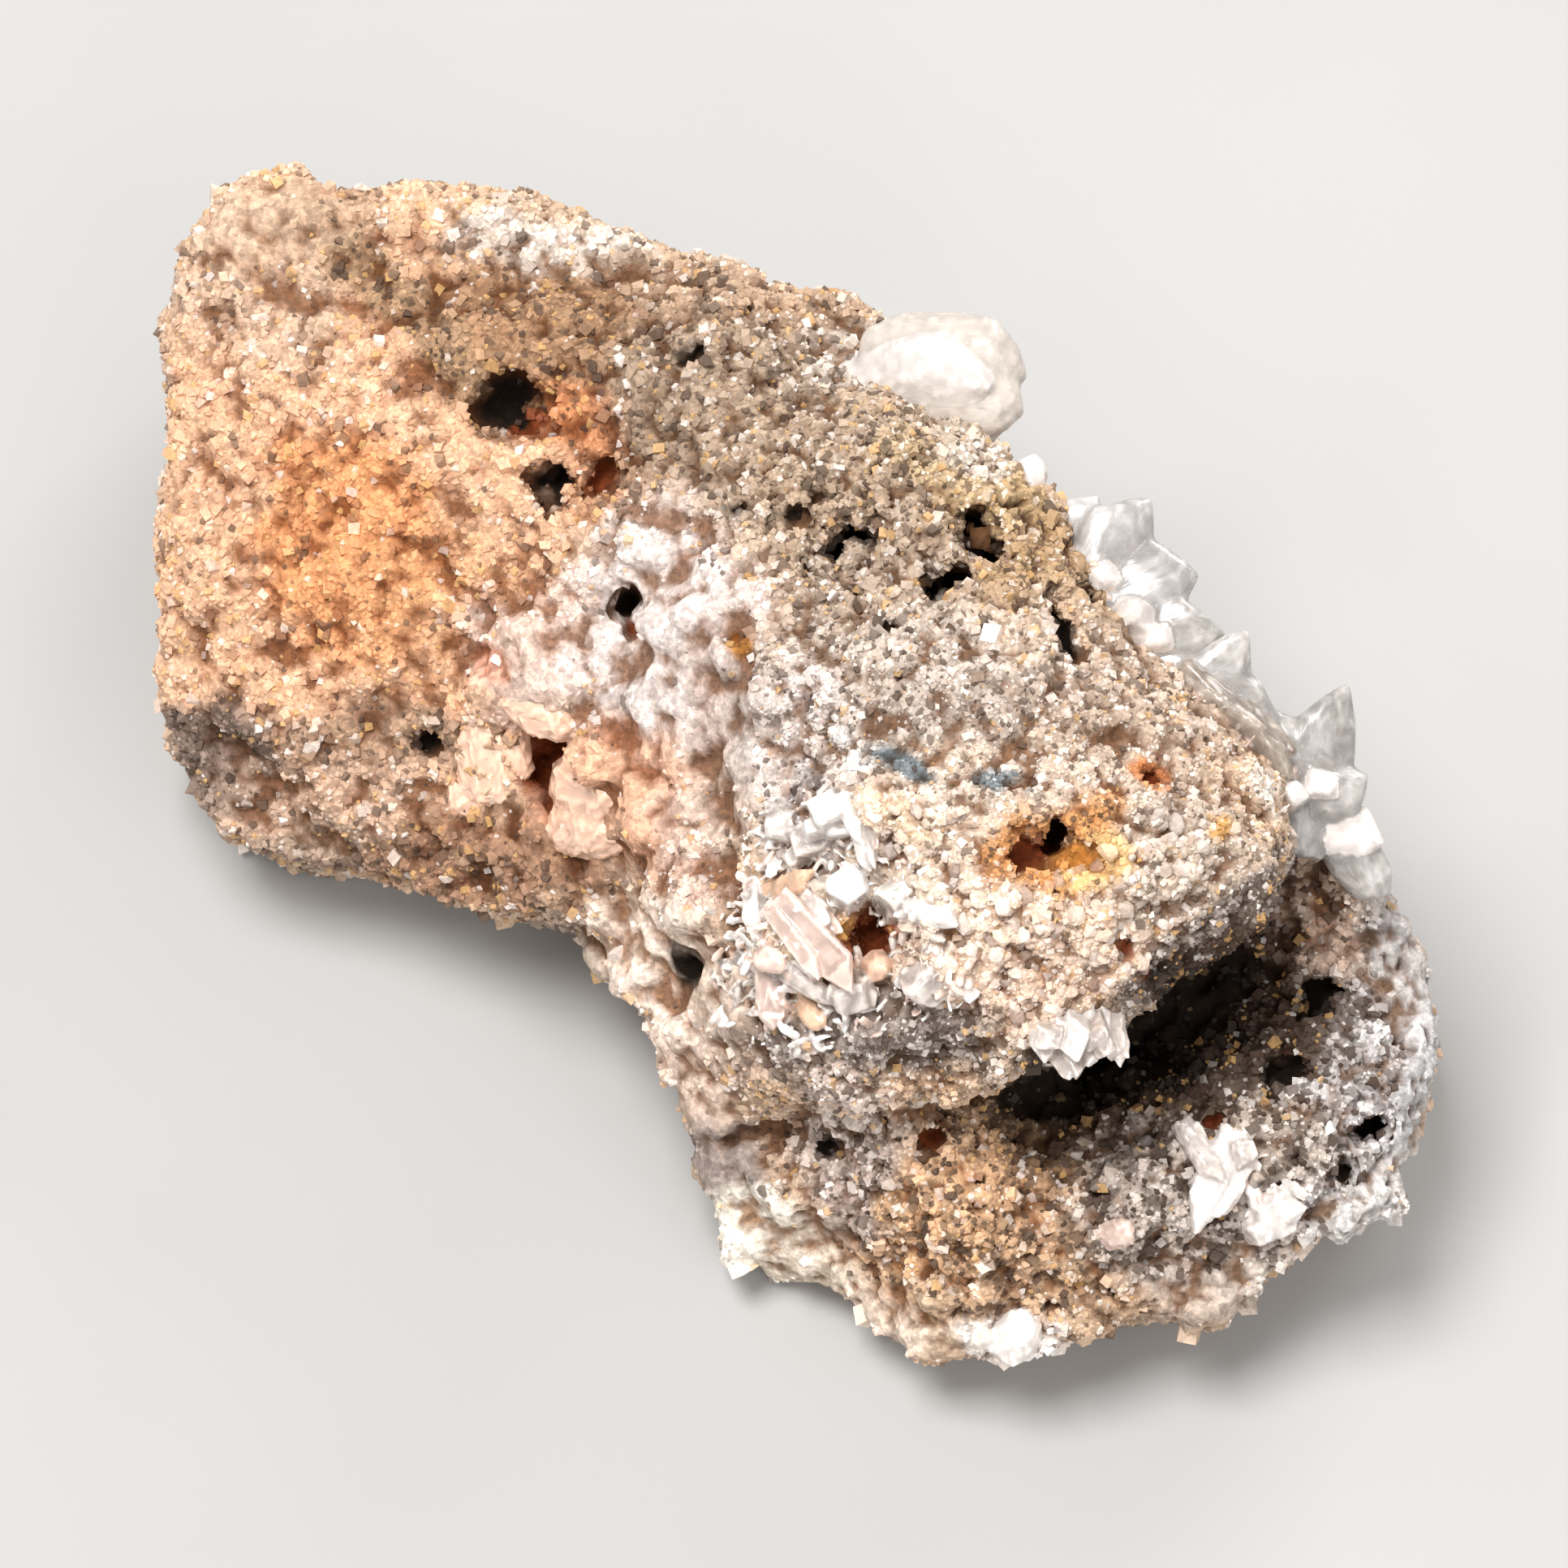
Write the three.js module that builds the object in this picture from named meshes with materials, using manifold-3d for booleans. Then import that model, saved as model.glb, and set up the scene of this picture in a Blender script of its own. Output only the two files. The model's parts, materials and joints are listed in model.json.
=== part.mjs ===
// A barite crystal cluster on its host rock: one lump of porous, sandy matrix with sprays,
// blades and knobs of clear to milky barite grown on it. Millimetres, +Z up.
//
// The specimen is shaped in its face frame: U to the right, V up the display face and W out of
// it. The face then leans back, the lump is trimmed flat where it rests, and the whole is
// centred on its footprint.
import * as THREE from "three";
import { ConvexGeometry } from "three/addons/geometries/ConvexGeometry.js";
import { ImprovedNoise } from "three/addons/math/ImprovedNoise.js";
import { mergeVertices } from "three/addons/utils/BufferGeometryUtils.js";
import Module from "manifold-3d";

// ---- Driving dimensions ----

const FACE_ELEVATION = 60; // degrees between level and the display face's normal
const FACE_HEIGHT = 30; // face datum above the resting plane
const SEAT_GAP = 0.3; // clearance between a crystal piece and the rock that carries it
const CROWN_BOXINESS = 5; // how square a lump's shoulder is between its face and its sides
const KEEL_BOXINESS = 3;
const FACE_SHARE = 0.35; // how far a lump's facets crowd towards its face
const FACE_SOFTNESS = 1.6; // how far a high or low place of a face keeps its own depth
const WORLD_SIZE = 200; // larger than the specimen, for the trimming block

// The rock's lumps. outline is the widest section, clockwise from its upper left; face holds
// the depth at the face's high and low places; keel is the depth below the widest section.
// Every point is [u, v, w].
const LUMPS = {
  host: {
    centre: [1, 2],
    keel: 40,
    detail: 12,
    outline: [
      [-27.5, 27.5, -21], [-26, 28, -21], [-24.5, 29, -21], [-21.5, 27.5, -21], [-19.5, 28, -20],
      [-12.5, 27.5, -20], [-7.5, 26, -20], [-6, 24.5, -19], [-2.5, 24.5, -19], [-1.5, 23, -19],
      [3, 22.5, -18], [5, 21, -17], [7.5, 19, -15], [9, 17.5, -14], [9.5, 15.5, -13],
      [12, 13.2, -12], [13.5, 11.3, -12], [15.5, 8.2, -11], [18, 4.8, -10], [22, 1.5, -10],
      [25, -1, -11],
      [27, -3.5, -12], [27.5, -6, -13], [29, -7.5, -14], [30.5, -11, -14], [30, -13.5, -14],
      [29.5, -16, -14], [27.5, -19.5, -14], [25, -21, -14], [22, -23.5, -14], [21, -25, -14],
      [19, -25, -14], [16.5, -24.5, -14], [15, -25.5, -14], [10.5, -26.5, -14], [7, -26.5, -15],
      [5.5, -25.5, -16], [4.5, -24, -18], [1.5, -23.5, -20], [-1, -23, -20], [-2.5, -20.5, -20],
      [-4, -18.5, -20], [-3.5, -14.5, -20], [-5, -13.5, -20], [-6.5, -11, -20], [-10, -6.5, -21],
      [-13, -6.5, -22], [-18, -4.5, -24], [-20.5, -4.5, -24], [-26, -3.5, -25], [-27.5, -1, -25],
      [-29, 2, -25], [-29, 8.5, -23], [-29.5, 11.5, -22], [-29, 15.5, -22], [-29, 21.5, -22],
    ],
    face: [
      // upper left
      [-27, 25.5, -20], [-17.5, 26, -18], [-25, 14, -18], [-17.5, 17.5, -16], [-10, 19.5, -14],
      [-21.5, 2.5, -20], [-25.5, -1.5, -23], [-16, -3, -21], [-17.5, 8, -17], [-12, -1.5, -18],
      // saddle and shoulder
      [-8, 25.5, -18], [3, 21.5, -16], [8, 17.5, -13], [-2.5, 19, -12], [5, 13.5, -8],
      [10.5, 13.5, -9], [5, 9.5, -8], [12, 9.5, -8], [16, 7, -8.5],
      // left flank
      [-10, 6, -14], [-8, -5, -16], [-6, 10, -11], [-5.5, 0.5, -12], [-3, -5, -8],
      [-6, -9, -16], [-2.5, -16.5, -17], [1.5, -22, -18], [1.5, -18, -13],
      // behind the front block
      [-2.5, 6, -7], [-0.5, 2.5, -6], [1, 8, -7], [5, 2.5, -6], [12, 0.5, -6], [17.5, 2.5, -8],
      [8.5, -6.5, -6], [1, -6.5, -6], [-0.5, -10.5, -8], [5, -10.5, -7], [25.5, 0.5, -9],
      // hollow below the front block
      [10, -12, -12], [14, -9.5, -13], [18, -7, -13], [21, -4, -12], [12, -15, -14],
      [15, -13.5, -15], [18, -11.5, -16], [20.5, -9, -16], [23.5, -6.5, -15],
      // lower right
      [4, -13.5, -9], [4.5, -16, -9], [8.5, -18, -9], [12.5, -18, -10], [16, -19.5, -9],
      [20, -15, -11], [23.5, -11.5, -12], [23.5, -16, -9], [27.5, -12.5, -11], [27, -3.5, -12],
      [29, -9, -14], [10.5, -23.5, -11], [20, -23, -12],
    ],
  },
  front_block: {
    centre: [10, -1],
    keel: 9,
    detail: 7,
    outline: [
      [-1, 7.5, -8], [0.5, 11, -9], [3.5, 13, -10], [8, 14, -11], [11.5, 11.5, -10],
      [14.5, 8, -9], [17.5, 4.2, -9], [21, 1.5, -9], [23, -1.5, -7], [23, -4, -6],
      [21, -6.5, -5], [17.5, -9, -4.5], [15, -11, -4.5], [12, -12.5, -4.5], [9.5, -14, -5],
      [5.5, -15, -8], [1.5, -15, -9], [-0.5, -12, -8], [-1.5, -8, -8], [-2, -3, -8],
      [-1.5, 2.5, -8],
    ],
    face: [
      [1, 9.5, -7.5], [5, 10.5, -6], [8.5, 12.5, -7], [12, 9.5, -6], [15.5, 6, -6],
      [1, 4, -3], [5, 4, -2], [10, 4, -1.5], [15.5, 2.5, -2.5], [19, 0.5, -3], [22, -1.5, -5],
      [-0.5, 0.5, -4.5], [3, -1, -1], [8.5, -1, 0], [14, -1, 0.5], [18.5, -3, -1],
      [-1, -5, -5], [1, -6.5, -2.5], [8.5, -6.5, 0], [14, -5.5, 0], [17, -7.5, -2],
      [0, -11, -6], [3, -11, -3.5], [6.5, -11.5, -1.5], [11.5, -11, -1.5], [2.5, -14, -6],
      [6.5, -13.5, -5],
    ],
  },
};

// Rounded knobs budding from the rock's rim: centre [u, v, w], half sizes and turn in degrees.
const KNOBS = [
  { at: [0.2, -21.3, -19.5], half: [2.2, 1.7, 2.5], turn: [0, 0, 20], detail: 1 },
  { at: [3.4, -23, -18.5], half: [1.8, 1.3, 2.2], turn: [0, 0, -10], detail: 1 },
  { at: [7.2, -25.2, -15.5], half: [2, 1.6, 2.2], turn: [0, 0, 0], detail: 1 },
  { at: [10.8, -25.3, -14.5], half: [2.2, 1.5, 2.2], turn: [0, 0, 10], detail: 1 },
  { at: [19.8, -24, -14], half: [1.9, 1.2, 2], turn: [0, 0, 10], detail: 1 },
];

// Hollows and pits, in the same terms; a pit's centre is given as [u, v] on the face.
const HOLLOWS = {
  undercut: { at: [16.5, -10.5, -11], half: [8, 3.5, 4.5], turn: [10, 0, 34], detail: 3 },
  twin_pit_upper: { at: [-12.8, 17.4], half: [1.6, 1.7, 3], turn: [0, 0, 30], detail: 1 },
  twin_pit_left: { at: [-10.7, 13.7], half: [1, 1.4, 2.2], turn: [0, 0, 10], detail: 1 },
  twin_pit_right: { at: [-8.4, 14], half: [0.9, 1, 2], turn: [0, 0, -30], detail: 1 },
  red_hole: { at: [-11, 0.8], half: [1.4, 2.2, 3.5], turn: [0, 0, 8], detail: 1 },
  shoulder_pit_left: { at: [3.1, 10.8], half: [1.7, 1, 2.4], turn: [0, 0, 25], detail: 1 },
  shoulder_pit_middle: { at: [7.1, 9], half: [1.2, 0.9, 2.2], turn: [0, 0, 20], detail: 1 },
  shoulder_pit_right: { at: [8.9, 11], half: [0.8, 1.5, 2.4], turn: [0, 0, 15], detail: 1 },
  shoulder_slit: { at: [12.6, 7.2], half: [0.8, 2.1, 2.6], turn: [0, 0, 12], detail: 1 },
  rust_pit: { at: [11.7, -2.7], half: [2.1, 1.3, 2.2], turn: [0, 0, 8], detail: 1 },
  vug: { at: [3.9, -6.9], half: [1.7, 1.5, 3.4], turn: [0, 0, -20], detail: 1 },
  flank_pit: { at: [-7.1, 7.7], half: [1.3, 1, 1.8], turn: [0, 0, 20], detail: 1 },
  foot_pit_upper: { at: [24.8, -9.9], half: [1.3, 1, 2], turn: [0, 0, 40], detail: 1 },
  foot_pit_lower: { at: [26.7, -15.8], half: [1.1, 1, 1.8], turn: [0, 0, 0], detail: 1 },
};

// Crystal pieces. Each is a low crust with crystals standing in it, open over the hollow named
// by round. A crystal runs from its foot to its tip, [u, v, w], where w is measured from the
// rock's face if onFace is set; width lies across the axis and thick across both; blocks end
// flat, blades in a chisel edge.
const CRYSTALS = {
  vug_blades: {
    onFace: true,
    round: "vug",
    color: 0xf2e6e0,
    crusts: [{ at: [2.2, -5.6, -0.45], half: [4, 4.6, 0.9], turn: [0, -14, 10], detail: 1 }],
    blades: [
      { from: [0.6, -5.8, 0.6], to: [3.6, -9.9, 1.8], width: 2.1, thick: 1, roll: 25 },
      { from: [-0.9, -5.6, 0.5], to: [1.2, -9, 1.6], width: 1.3, thick: 0.8, roll: 35 },
      { from: [-0.3, -8.5, 0.4], to: [2.7, -9.8, 1.2], width: 1.1, thick: 0.8, roll: 20 },
      { from: [-0.8, -8.4, 0.2], to: [-0.2, -11.8, 1.4], width: 1.3, thick: 0.8, roll: 10 },
      { from: [2.7, -1.2, 0.6], to: [3.9, -4.2, 1.5], width: 1, thick: 0.7, roll: 60 },
      { from: [-0.7, -4.6, 0.3], to: [1.9, -3.5, 1.3], width: 1.2, thick: 0.7, roll: -20 },
      { from: [-1.6, -4.8, 0], to: [-1.3, -7.6, 1.5], width: 1.1, thick: 0.8, roll: 30 },
    ],
    blocks: [
      { from: [2.1, -1.4, -0.3], to: [1.9, -0.9, 1.9], width: 1.8, thick: 1.6, roll: 15 },
      { from: [1.5, -2.6, -0.3], to: [1.3, -2.4, 1.4], width: 2.1, thick: 1.7, roll: -15 },
      { from: [-0.1, -1.8, -0.3], to: [-0.6, -1.5, 1.3], width: 1.6, thick: 1.3, roll: 40 },
      { from: [2.9, -4.9, -0.4], to: [2.8, -4.6, 1.5], width: 2, thick: 1.6, roll: 10 },
      { from: [4.9, -4.9, -0.4], to: [5.2, -4.7, 1.7], width: 1.8, thick: 1.6, roll: -25 },
      { from: [3.3, -9.3, 0], to: [3.1, -9.7, 2], width: 1.8, thick: 1.5, roll: 30 },
      { from: [6, -8.8, -0.4], to: [6.3, -9.2, 1.8], width: 2, thick: 1.8, roll: 20 },
    ],
  },
  lip_tuft: {
    onFace: false,
    color: 0xf4efe8,
    crusts: [{ at: [13.2, -10.1, -1.7], half: [2, 1.4, 1.6], turn: [0, 0, 10], detail: 1 }],
    blades: [
      { from: [12.8, -9.9, -1.2], to: [11.3, -11.9, 0.2], width: 1.2, thick: 0.5, roll: 70 },
      { from: [12.9, -10.1, -1.4], to: [12, -12.9, -0.7], width: 1.1, thick: 0.5, roll: 30 },
      { from: [13.1, -10.1, -1.4], to: [12.8, -13.4, -1], width: 1.3, thick: 0.5, roll: 60 },
      { from: [13.3, -10.1, -1.4], to: [14, -13, -0.8], width: 1.1, thick: 0.5, roll: 10 },
      { from: [13.5, -9.9, -1.4], to: [15, -12, -0.6], width: 1.2, thick: 0.5, roll: 50 },
      { from: [13.2, -9.9, -1], to: [13.4, -11.5, 0.6], width: 1.1, thick: 0.5, roll: 80 },
    ],
    blocks: [],
  },
  top_knob: {
    onFace: false,
    color: 0xf6f1ec,
    crusts: [{ at: [7.6, 18.6, -14.4], half: [3.9, 3, 3.5], turn: [0, 10, 12], detail: 1 }],
    blades: [],
    blocks: [
      { from: [6.5, 19.3, -14.5], to: [10.7, 19.4, -14], width: 4.2, thick: 2.6, roll: 20 },
      { from: [7.5, 17.4, -14], to: [10.6, 17.6, -14], width: 3.4, thick: 3, roll: -10 },
    ],
  },
  shoulder_crystals: {
    onFace: false,
    color: 0xe9e6df,
    crusts: [{ at: [14.6, 10, -11.3], half: [5, 1.7, 2.3], turn: [0, 0, -52], detail: 1 }],
    blades: [
      { from: [12, 11.8, -11.8], to: [14.2, 13.1, -11.2], width: 2, thick: 1, roll: 10 },
      { from: [16.4, 7.2, -10.6], to: [18.8, 8.6, -9.8], width: 2.6, thick: 1.4, roll: 10 },
    ],
    blocks: [
      { from: [13.6, 9.4, -11.3], to: [16.4, 12.7, -10.6], width: 3, thick: 2, roll: 15 },
      { from: [14.6, 8.2, -10.8], to: [17.9, 10.8, -10], width: 3.2, thick: 1.9, roll: -20 },
      { from: [11, 13.4, -12.4], to: [11.8, 14.9, -12], width: 1.9, thick: 1.6, roll: 20 },
      { from: [15.2, 7.4, -9.8], to: [16, 8, -7.8], width: 1.9, thick: 1.5, roll: 30 },
      { from: [14, 9.4, -10.4], to: [14.4, 9.8, -8.6], width: 1.7, thick: 1.4, roll: 60 },
    ],
  },
  spine_crystals: {
    onFace: false,
    color: 0xe4d8c8,
    crusts: [{ at: [22.2, 1.6, -10.2], half: [5.8, 1.6, 2.2], turn: [0, 0, -38], detail: 1 }],
    blades: [
      { from: [18.2, 4.6, -10.2], to: [21.5, 6.6, -9.6], width: 2.3, thick: 1.1, roll: 20 },
      { from: [19.6, 3.8, -9.2], to: [23, 0.2, -7.6], width: 2.4, thick: 1.4, roll: 35 },
      { from: [24.2, -0.8, -10.2], to: [25.4, 4.1, -9.6], width: 2.5, thick: 1, roll: 15 },
      { from: [22.6, 0, -10], to: [23.6, 2.9, -9.2], width: 1.7, thick: 0.9, roll: -25 },
    ],
    blocks: [
      { from: [23, -0.4, -9.4], to: [23.5, -0.5, -6.8], width: 2, thick: 1.6, roll: 20 },
      { from: [24.6, 0, -9.8], to: [25.2, 0.2, -7.8], width: 2.1, thick: 1.7, roll: 45 },
      { from: [25.8, -1.6, -10.8], to: [26.9, -1.7, -9.6], width: 2.3, thick: 2, roll: 30 },
    ],
  },
  foot_crystals: {
    onFace: true,
    color: 0xf6f4f0,
    crusts: [{ at: [20.6, -18.7, -0.5], half: [3, 1.9, 1], turn: [0, 0, -30], detail: 1 }],
    blades: [
      { from: [18, -16.6, 0.3], to: [20.8, -20.6, 1.5], width: 2, thick: 1.1, roll: 25 },
      { from: [19.6, -16.8, 0.2], to: [21.6, -19, 1.6], width: 1.5, thick: 0.9, roll: -30 },
      { from: [21.2, -20.4, 0.4], to: [24, -18.7, 1.4], width: 2.1, thick: 1.4, roll: 20 },
    ],
    blocks: [{ from: [19, -19.1, -0.3], to: [18.8, -19.7, 1.2], width: 1.6, thick: 1.4, roll: 10 }],
  },
  side_slabs: {
    onFace: true,
    color: 0xe8c4ae,
    crusts: [],
    blades: [{ from: [-12.8, 3.4, 0.5], to: [-6.8, 1.1, 1], width: 1.6, thick: 1.4, roll: 30 }],
    blocks: [
      { from: [-13.7, 2.8, -0.1], to: [-13, -1.2, 0.5], width: 2.5, thick: 2, roll: 15 },
      { from: [-8.9, 1.2, 0], to: [-8.6, -2.6, 0.9], width: 3.4, thick: 2.4, roll: 20 },
      { from: [-7.3, -2, -0.4], to: [-6.8, -2.6, 1.2], width: 2.2, thick: 1.8, roll: 25 },
    ],
  },
};
const ROOT_SHARE = 0.2; // how much of a crystal's length runs on below its foot
const RAGGEDNESS = 0.09; // how unevenly a crystal's corners are grown

// Rock relief: swells, knobs and chips, in millimetres.
const RELIEF = [
  { wavelength: 9, height: 1.2 },
  { wavelength: 4.6, height: 1.3 },
  { wavelength: 2.7, height: 0.9 },
];
const RIM_RELIEF = 0.4; // share of the relief left at a lump's widest section
// Size of the relief on a lump, a knob, a pit and a crust.
const GRAIN = { lump: 1, knob: 0.5, pit: 0.45, crust: 0.4 };

// ---- Shared shaping ----

const noise = new ImprovedNoise();
const rad = THREE.MathUtils.degToRad;

function relief(p, grain) {
  return RELIEF.reduce((sum, { wavelength, height }) => {
    const l = wavelength * grain;
    return sum + height * grain * noise.noise(p.x / l + 7, p.y / l + 3, p.z / l + 5);
  }, 0);
}

// Depth of a face at a point, drawn from the high and low places round it.
function faceDepth(face, u, v) {
  let total = 0;
  let depth = 0;
  for (const [fu, fv, fw] of face) {
    const weight = ((u - fu) ** 2 + (v - fv) ** 2 + FACE_SOFTNESS ** 2) ** -2.5;
    total += weight;
    depth += weight * fw;
  }
  return depth / total;
}

// Radius and depth of a widest section as a function of the angle round its centre.
function rimOf({ outline, centre: [cu, cv] }) {
  const curve = new THREE.CatmullRomCurve3(
    outline.map(([u, v, w]) => new THREE.Vector3(u - cu, v - cv, w)),
    true,
    "centripetal",
  );
  const samples = curve
    .getPoints(outline.length * 8)
    .map((p) => ({ angle: Math.atan2(p.y, p.x), radius: Math.hypot(p.x, p.y), depth: p.z }))
    .sort((a, b) => a.angle - b.angle);
  return (angle) => {
    const found = samples.findIndex((s) => s.angle >= angle);
    const next = found < 0 ? samples.length - 1 : Math.max(found, 1);
    const [a, b] = [samples[next - 1], samples[next]];
    const share = (angle - a.angle) / Math.max(b.angle - a.angle, 1e-6);
    return {
      radius: THREE.MathUtils.lerp(a.radius, b.radius, share),
      depth: THREE.MathUtils.lerp(a.depth, b.depth, share),
    };
  };
}

// The same numbers from 0 to 1 on every run.
function seeded(seed) {
  let state = seed;
  return () => {
    state = (state * 1664525 + 1013904223) % 4294967296;
    return state / 4294967296;
  };
}

// A unit sphere's points moved to place(direction), roughened, and grown along the normals.
function shapedSphere(detail, grain, grow, place) {
  const bare = new THREE.IcosahedronGeometry(1, detail);
  bare.deleteAttribute("normal");
  bare.deleteAttribute("uv");
  const geometry = mergeVertices(bare, 1e-4);
  const position = geometry.getAttribute("position");
  const direction = new THREE.Vector3();
  const step = (amount) => {
    geometry.computeVertexNormals();
    const normal = geometry.getAttribute("normal");
    for (let i = 0; i < position.count; i++) {
      const n = new THREE.Vector3().fromBufferAttribute(normal, i);
      const p = new THREE.Vector3().fromBufferAttribute(position, i);
      p.addScaledVector(n, amount(p, i));
      position.setXYZ(i, p.x, p.y, p.z);
    }
  };
  const roughness = [];
  for (let i = 0; i < position.count; i++) {
    direction.fromBufferAttribute(position, i).normalize();
    const { point, rough } = place(direction);
    roughness.push(rough);
    position.setXYZ(i, point.x, point.y, point.z);
  }
  step((p, i) => relief(p, grain) * roughness[i]);
  step(() => grow);
  return solid(geometry);
}

function lump(spec, grow) {
  const { centre, face, keel, detail } = spec;
  const rimAt = rimOf(spec);
  return shapedSphere(detail, GRAIN.lump, grow, (d) => {
    d.z += FACE_SHARE * (1 - d.z ** 2);
    const flat = Math.hypot(d.x, d.y);
    const power = d.z > 0 ? CROWN_BOXINESS : KEEL_BOXINESS;
    const scale = (flat ** power + Math.abs(d.z) ** power) ** (-1 / power);
    const angle = Math.atan2(d.y, d.x);
    const rim = rimAt(angle);
    const u = centre[0] + rim.radius * flat * scale * Math.cos(angle);
    const v = centre[1] + rim.radius * flat * scale * Math.sin(angle);
    const height = Math.abs(d.z) * scale;
    const end = d.z > 0 ? faceDepth(face, u, v) : rim.depth - keel;
    return {
      point: new THREE.Vector3(u, v, THREE.MathUtils.lerp(rim.depth, end, height)),
      rough: THREE.MathUtils.lerp(RIM_RELIEF, 1, height),
    };
  });
}

// A rough ellipsoid: a knob, a hollow or a crust.
function boulder({ at, half, turn, detail }, grain, grow) {
  const spin = new THREE.Euler(rad(turn[0]), rad(turn[1]), rad(turn[2]));
  const size = new THREE.Vector3(...half);
  const centre = new THREE.Vector3(...at);
  return shapedSphere(detail, grain, grow, (d) => ({
    point: d.clone().multiply(size).applyEuler(spin).add(centre),
    rough: 1,
  }));
}

// One tabular crystal: rings of corners at its root, its shoulder and its tip.
const BLADE_RINGS = [
  { at: -ROOT_SHARE, wide: 0.85, corner: 0.32 },
  { at: 0.7, wide: 1, corner: 0.32 },
  { at: 1, wide: 0.36, corner: 0.12 },
];
const BLOCK_RINGS = [
  { at: -ROOT_SHARE, wide: 0.95, corner: 0.46 },
  { at: 0.84, wide: 1, corner: 0.47 },
  { at: 1, wide: 0.76, corner: 0.34 },
];
function crystal({ from, to, width, thick, roll }, rings, edged, random) {
  const foot = new THREE.Vector3(...from);
  const axis = new THREE.Vector3(...to).sub(foot);
  const length = axis.length();
  axis.normalize();
  const side = new THREE.Vector3(0, 0, 1).cross(axis);
  if (side.length() < 0.2) side.set(1, 0, 0).cross(axis);
  side.normalize().applyAxisAngle(axis, rad(roll));
  const across = axis.clone().cross(side);
  const corners = [];
  for (const ring of rings) {
    const flat = ring.wide * thick * 0.5;
    const edge = ring.wide * 0.5 * width;
    const corner = ring.corner * width;
    const edges = edged ? [[edge, 0], [-edge, 0]] : [];
    const faces = [[corner, flat], [-corner, flat], [-corner, -flat], [corner, -flat]];
    for (const [x, y] of [...edges, ...faces]) {
      const uneven = 1 + RAGGEDNESS * (2 * random() - 1);
      corners.push(
        foot
          .clone()
          .addScaledVector(axis, ring.at * length * uneven)
          .addScaledVector(side, x * uneven)
          .addScaledVector(across, y * uneven),
      );
    }
  }
  return solidOf(new ConvexGeometry(corners));
}

// ---- Solids ----

const wasm = await Module();
wasm.setup();

function solidOf(shape) {
  shape.deleteAttribute("normal");
  shape.deleteAttribute("uv");
  return solid(mergeVertices(shape, 1e-4));
}

function solid(geometry) {
  return new wasm.Manifold(
    new wasm.Mesh({
      numProp: 3,
      vertProperties: new Float32Array(geometry.getAttribute("position").array),
      triVerts: new Uint32Array(geometry.index.array),
    }),
  );
}

function geometryOf(body) {
  const mesh = body.getMesh();
  const geometry = new THREE.BufferGeometry();
  geometry.setAttribute("position", new THREE.BufferAttribute(mesh.vertProperties, 3));
  geometry.setIndex(new THREE.BufferAttribute(mesh.triVerts, 1));
  geometry.computeVertexNormals();
  return geometry;
}

// Everything below the resting plane, in the face frame.
function ground() {
  const block = new THREE.BoxGeometry(WORLD_SIZE, WORLD_SIZE, WORLD_SIZE);
  block.translate(0, 0, -FACE_HEIGHT - WORLD_SIZE / 2);
  block.rotateX(rad(90 - FACE_ELEVATION) * -1);
  return solidOf(block);
}

function joined(bodies) {
  return bodies.reduce((all, next) => all.add(next));
}

function largestBody(body) {
  return body.decompose().sort((a, b) => b.volume() - a.volume())[0];
}

// ---- The rock ----

function uncutRock(grow) {
  return joined([
    ...Object.values(LUMPS).map((spec) => lump(spec, grow)),
    ...KNOBS.map((spec) => boulder(spec, GRAIN.knob, grow)),
  ]);
}

// Depth of the uncut rock's face at a point.
const faceMesh = new THREE.Mesh(geometryOf(uncutRock(0)), new THREE.MeshBasicMaterial());
function faceAt(u, v) {
  const ray = new THREE.Raycaster(new THREE.Vector3(u, v, WORLD_SIZE), new THREE.Vector3(0, 0, -1));
  return ray.intersectObject(faceMesh)[0].point.z;
}

function pit(spec, grow) {
  const at = spec.at.length < 3 ? [...spec.at, faceAt(...spec.at)] : spec.at;
  return boulder({ ...spec, at }, GRAIN.pit, grow);
}

function rock(grow) {
  return Object.values(HOLLOWS).reduce((all, spec) => all.subtract(pit(spec, -grow)), uncutRock(grow));
}

// ---- The crystals ----

const seat = rock(SEAT_GAP);

function cluster({ onFace, round, crusts, blades, blocks }, seed) {
  const random = seeded(seed);
  const placed = ([u, v, w]) => [u, v, onFace ? faceAt(u, v) + w : w];
  const grown = (rings, edged) => (spec) =>
    crystal({ ...spec, from: placed(spec.from), to: placed(spec.to) }, rings, edged, random);
  const opening = round && pit(HOLLOWS[round], 0);
  const crust = (spec) => {
    const whole = boulder({ ...spec, at: placed(spec.at) }, GRAIN.crust, 0);
    return opening ? whole.subtract(opening) : whole;
  };
  const body = joined([
    ...crusts.map(crust),
    ...blades.map(grown(BLADE_RINGS, true)),
    ...blocks.map(grown(BLOCK_RINGS, false)),
  ]);
  return largestBody(body.subtract(seat).subtract(ground()));
}

// ---- The specimen ----

const lean = new THREE.Group();
lean.rotation.x = rad(90 - FACE_ELEVATION);
function addNode(name, body, finish) {
  const mesh = new THREE.Mesh(geometryOf(body), new THREE.MeshStandardMaterial(finish));
  mesh.name = name;
  lean.add(mesh);
}
addNode("matrix_rock", largestBody(rock(0).subtract(ground())), { color: 0xcbb094, roughness: 0.9 });
Object.entries(CRYSTALS).forEach(([name, spec], i) => {
  addNode(name, cluster(spec, i + 11), { color: spec.color, roughness: 0.25 });
});

const specimen = new THREE.Group();
specimen.add(lean);
specimen.updateMatrixWorld(true);
const box = new THREE.Box3().setFromObject(specimen, true);
specimen.position.set(-(box.min.x + box.max.x) / 2, -(box.min.y + box.max.y) / 2, -box.min.z);

export default specimen;
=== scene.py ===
import json
import math

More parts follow.
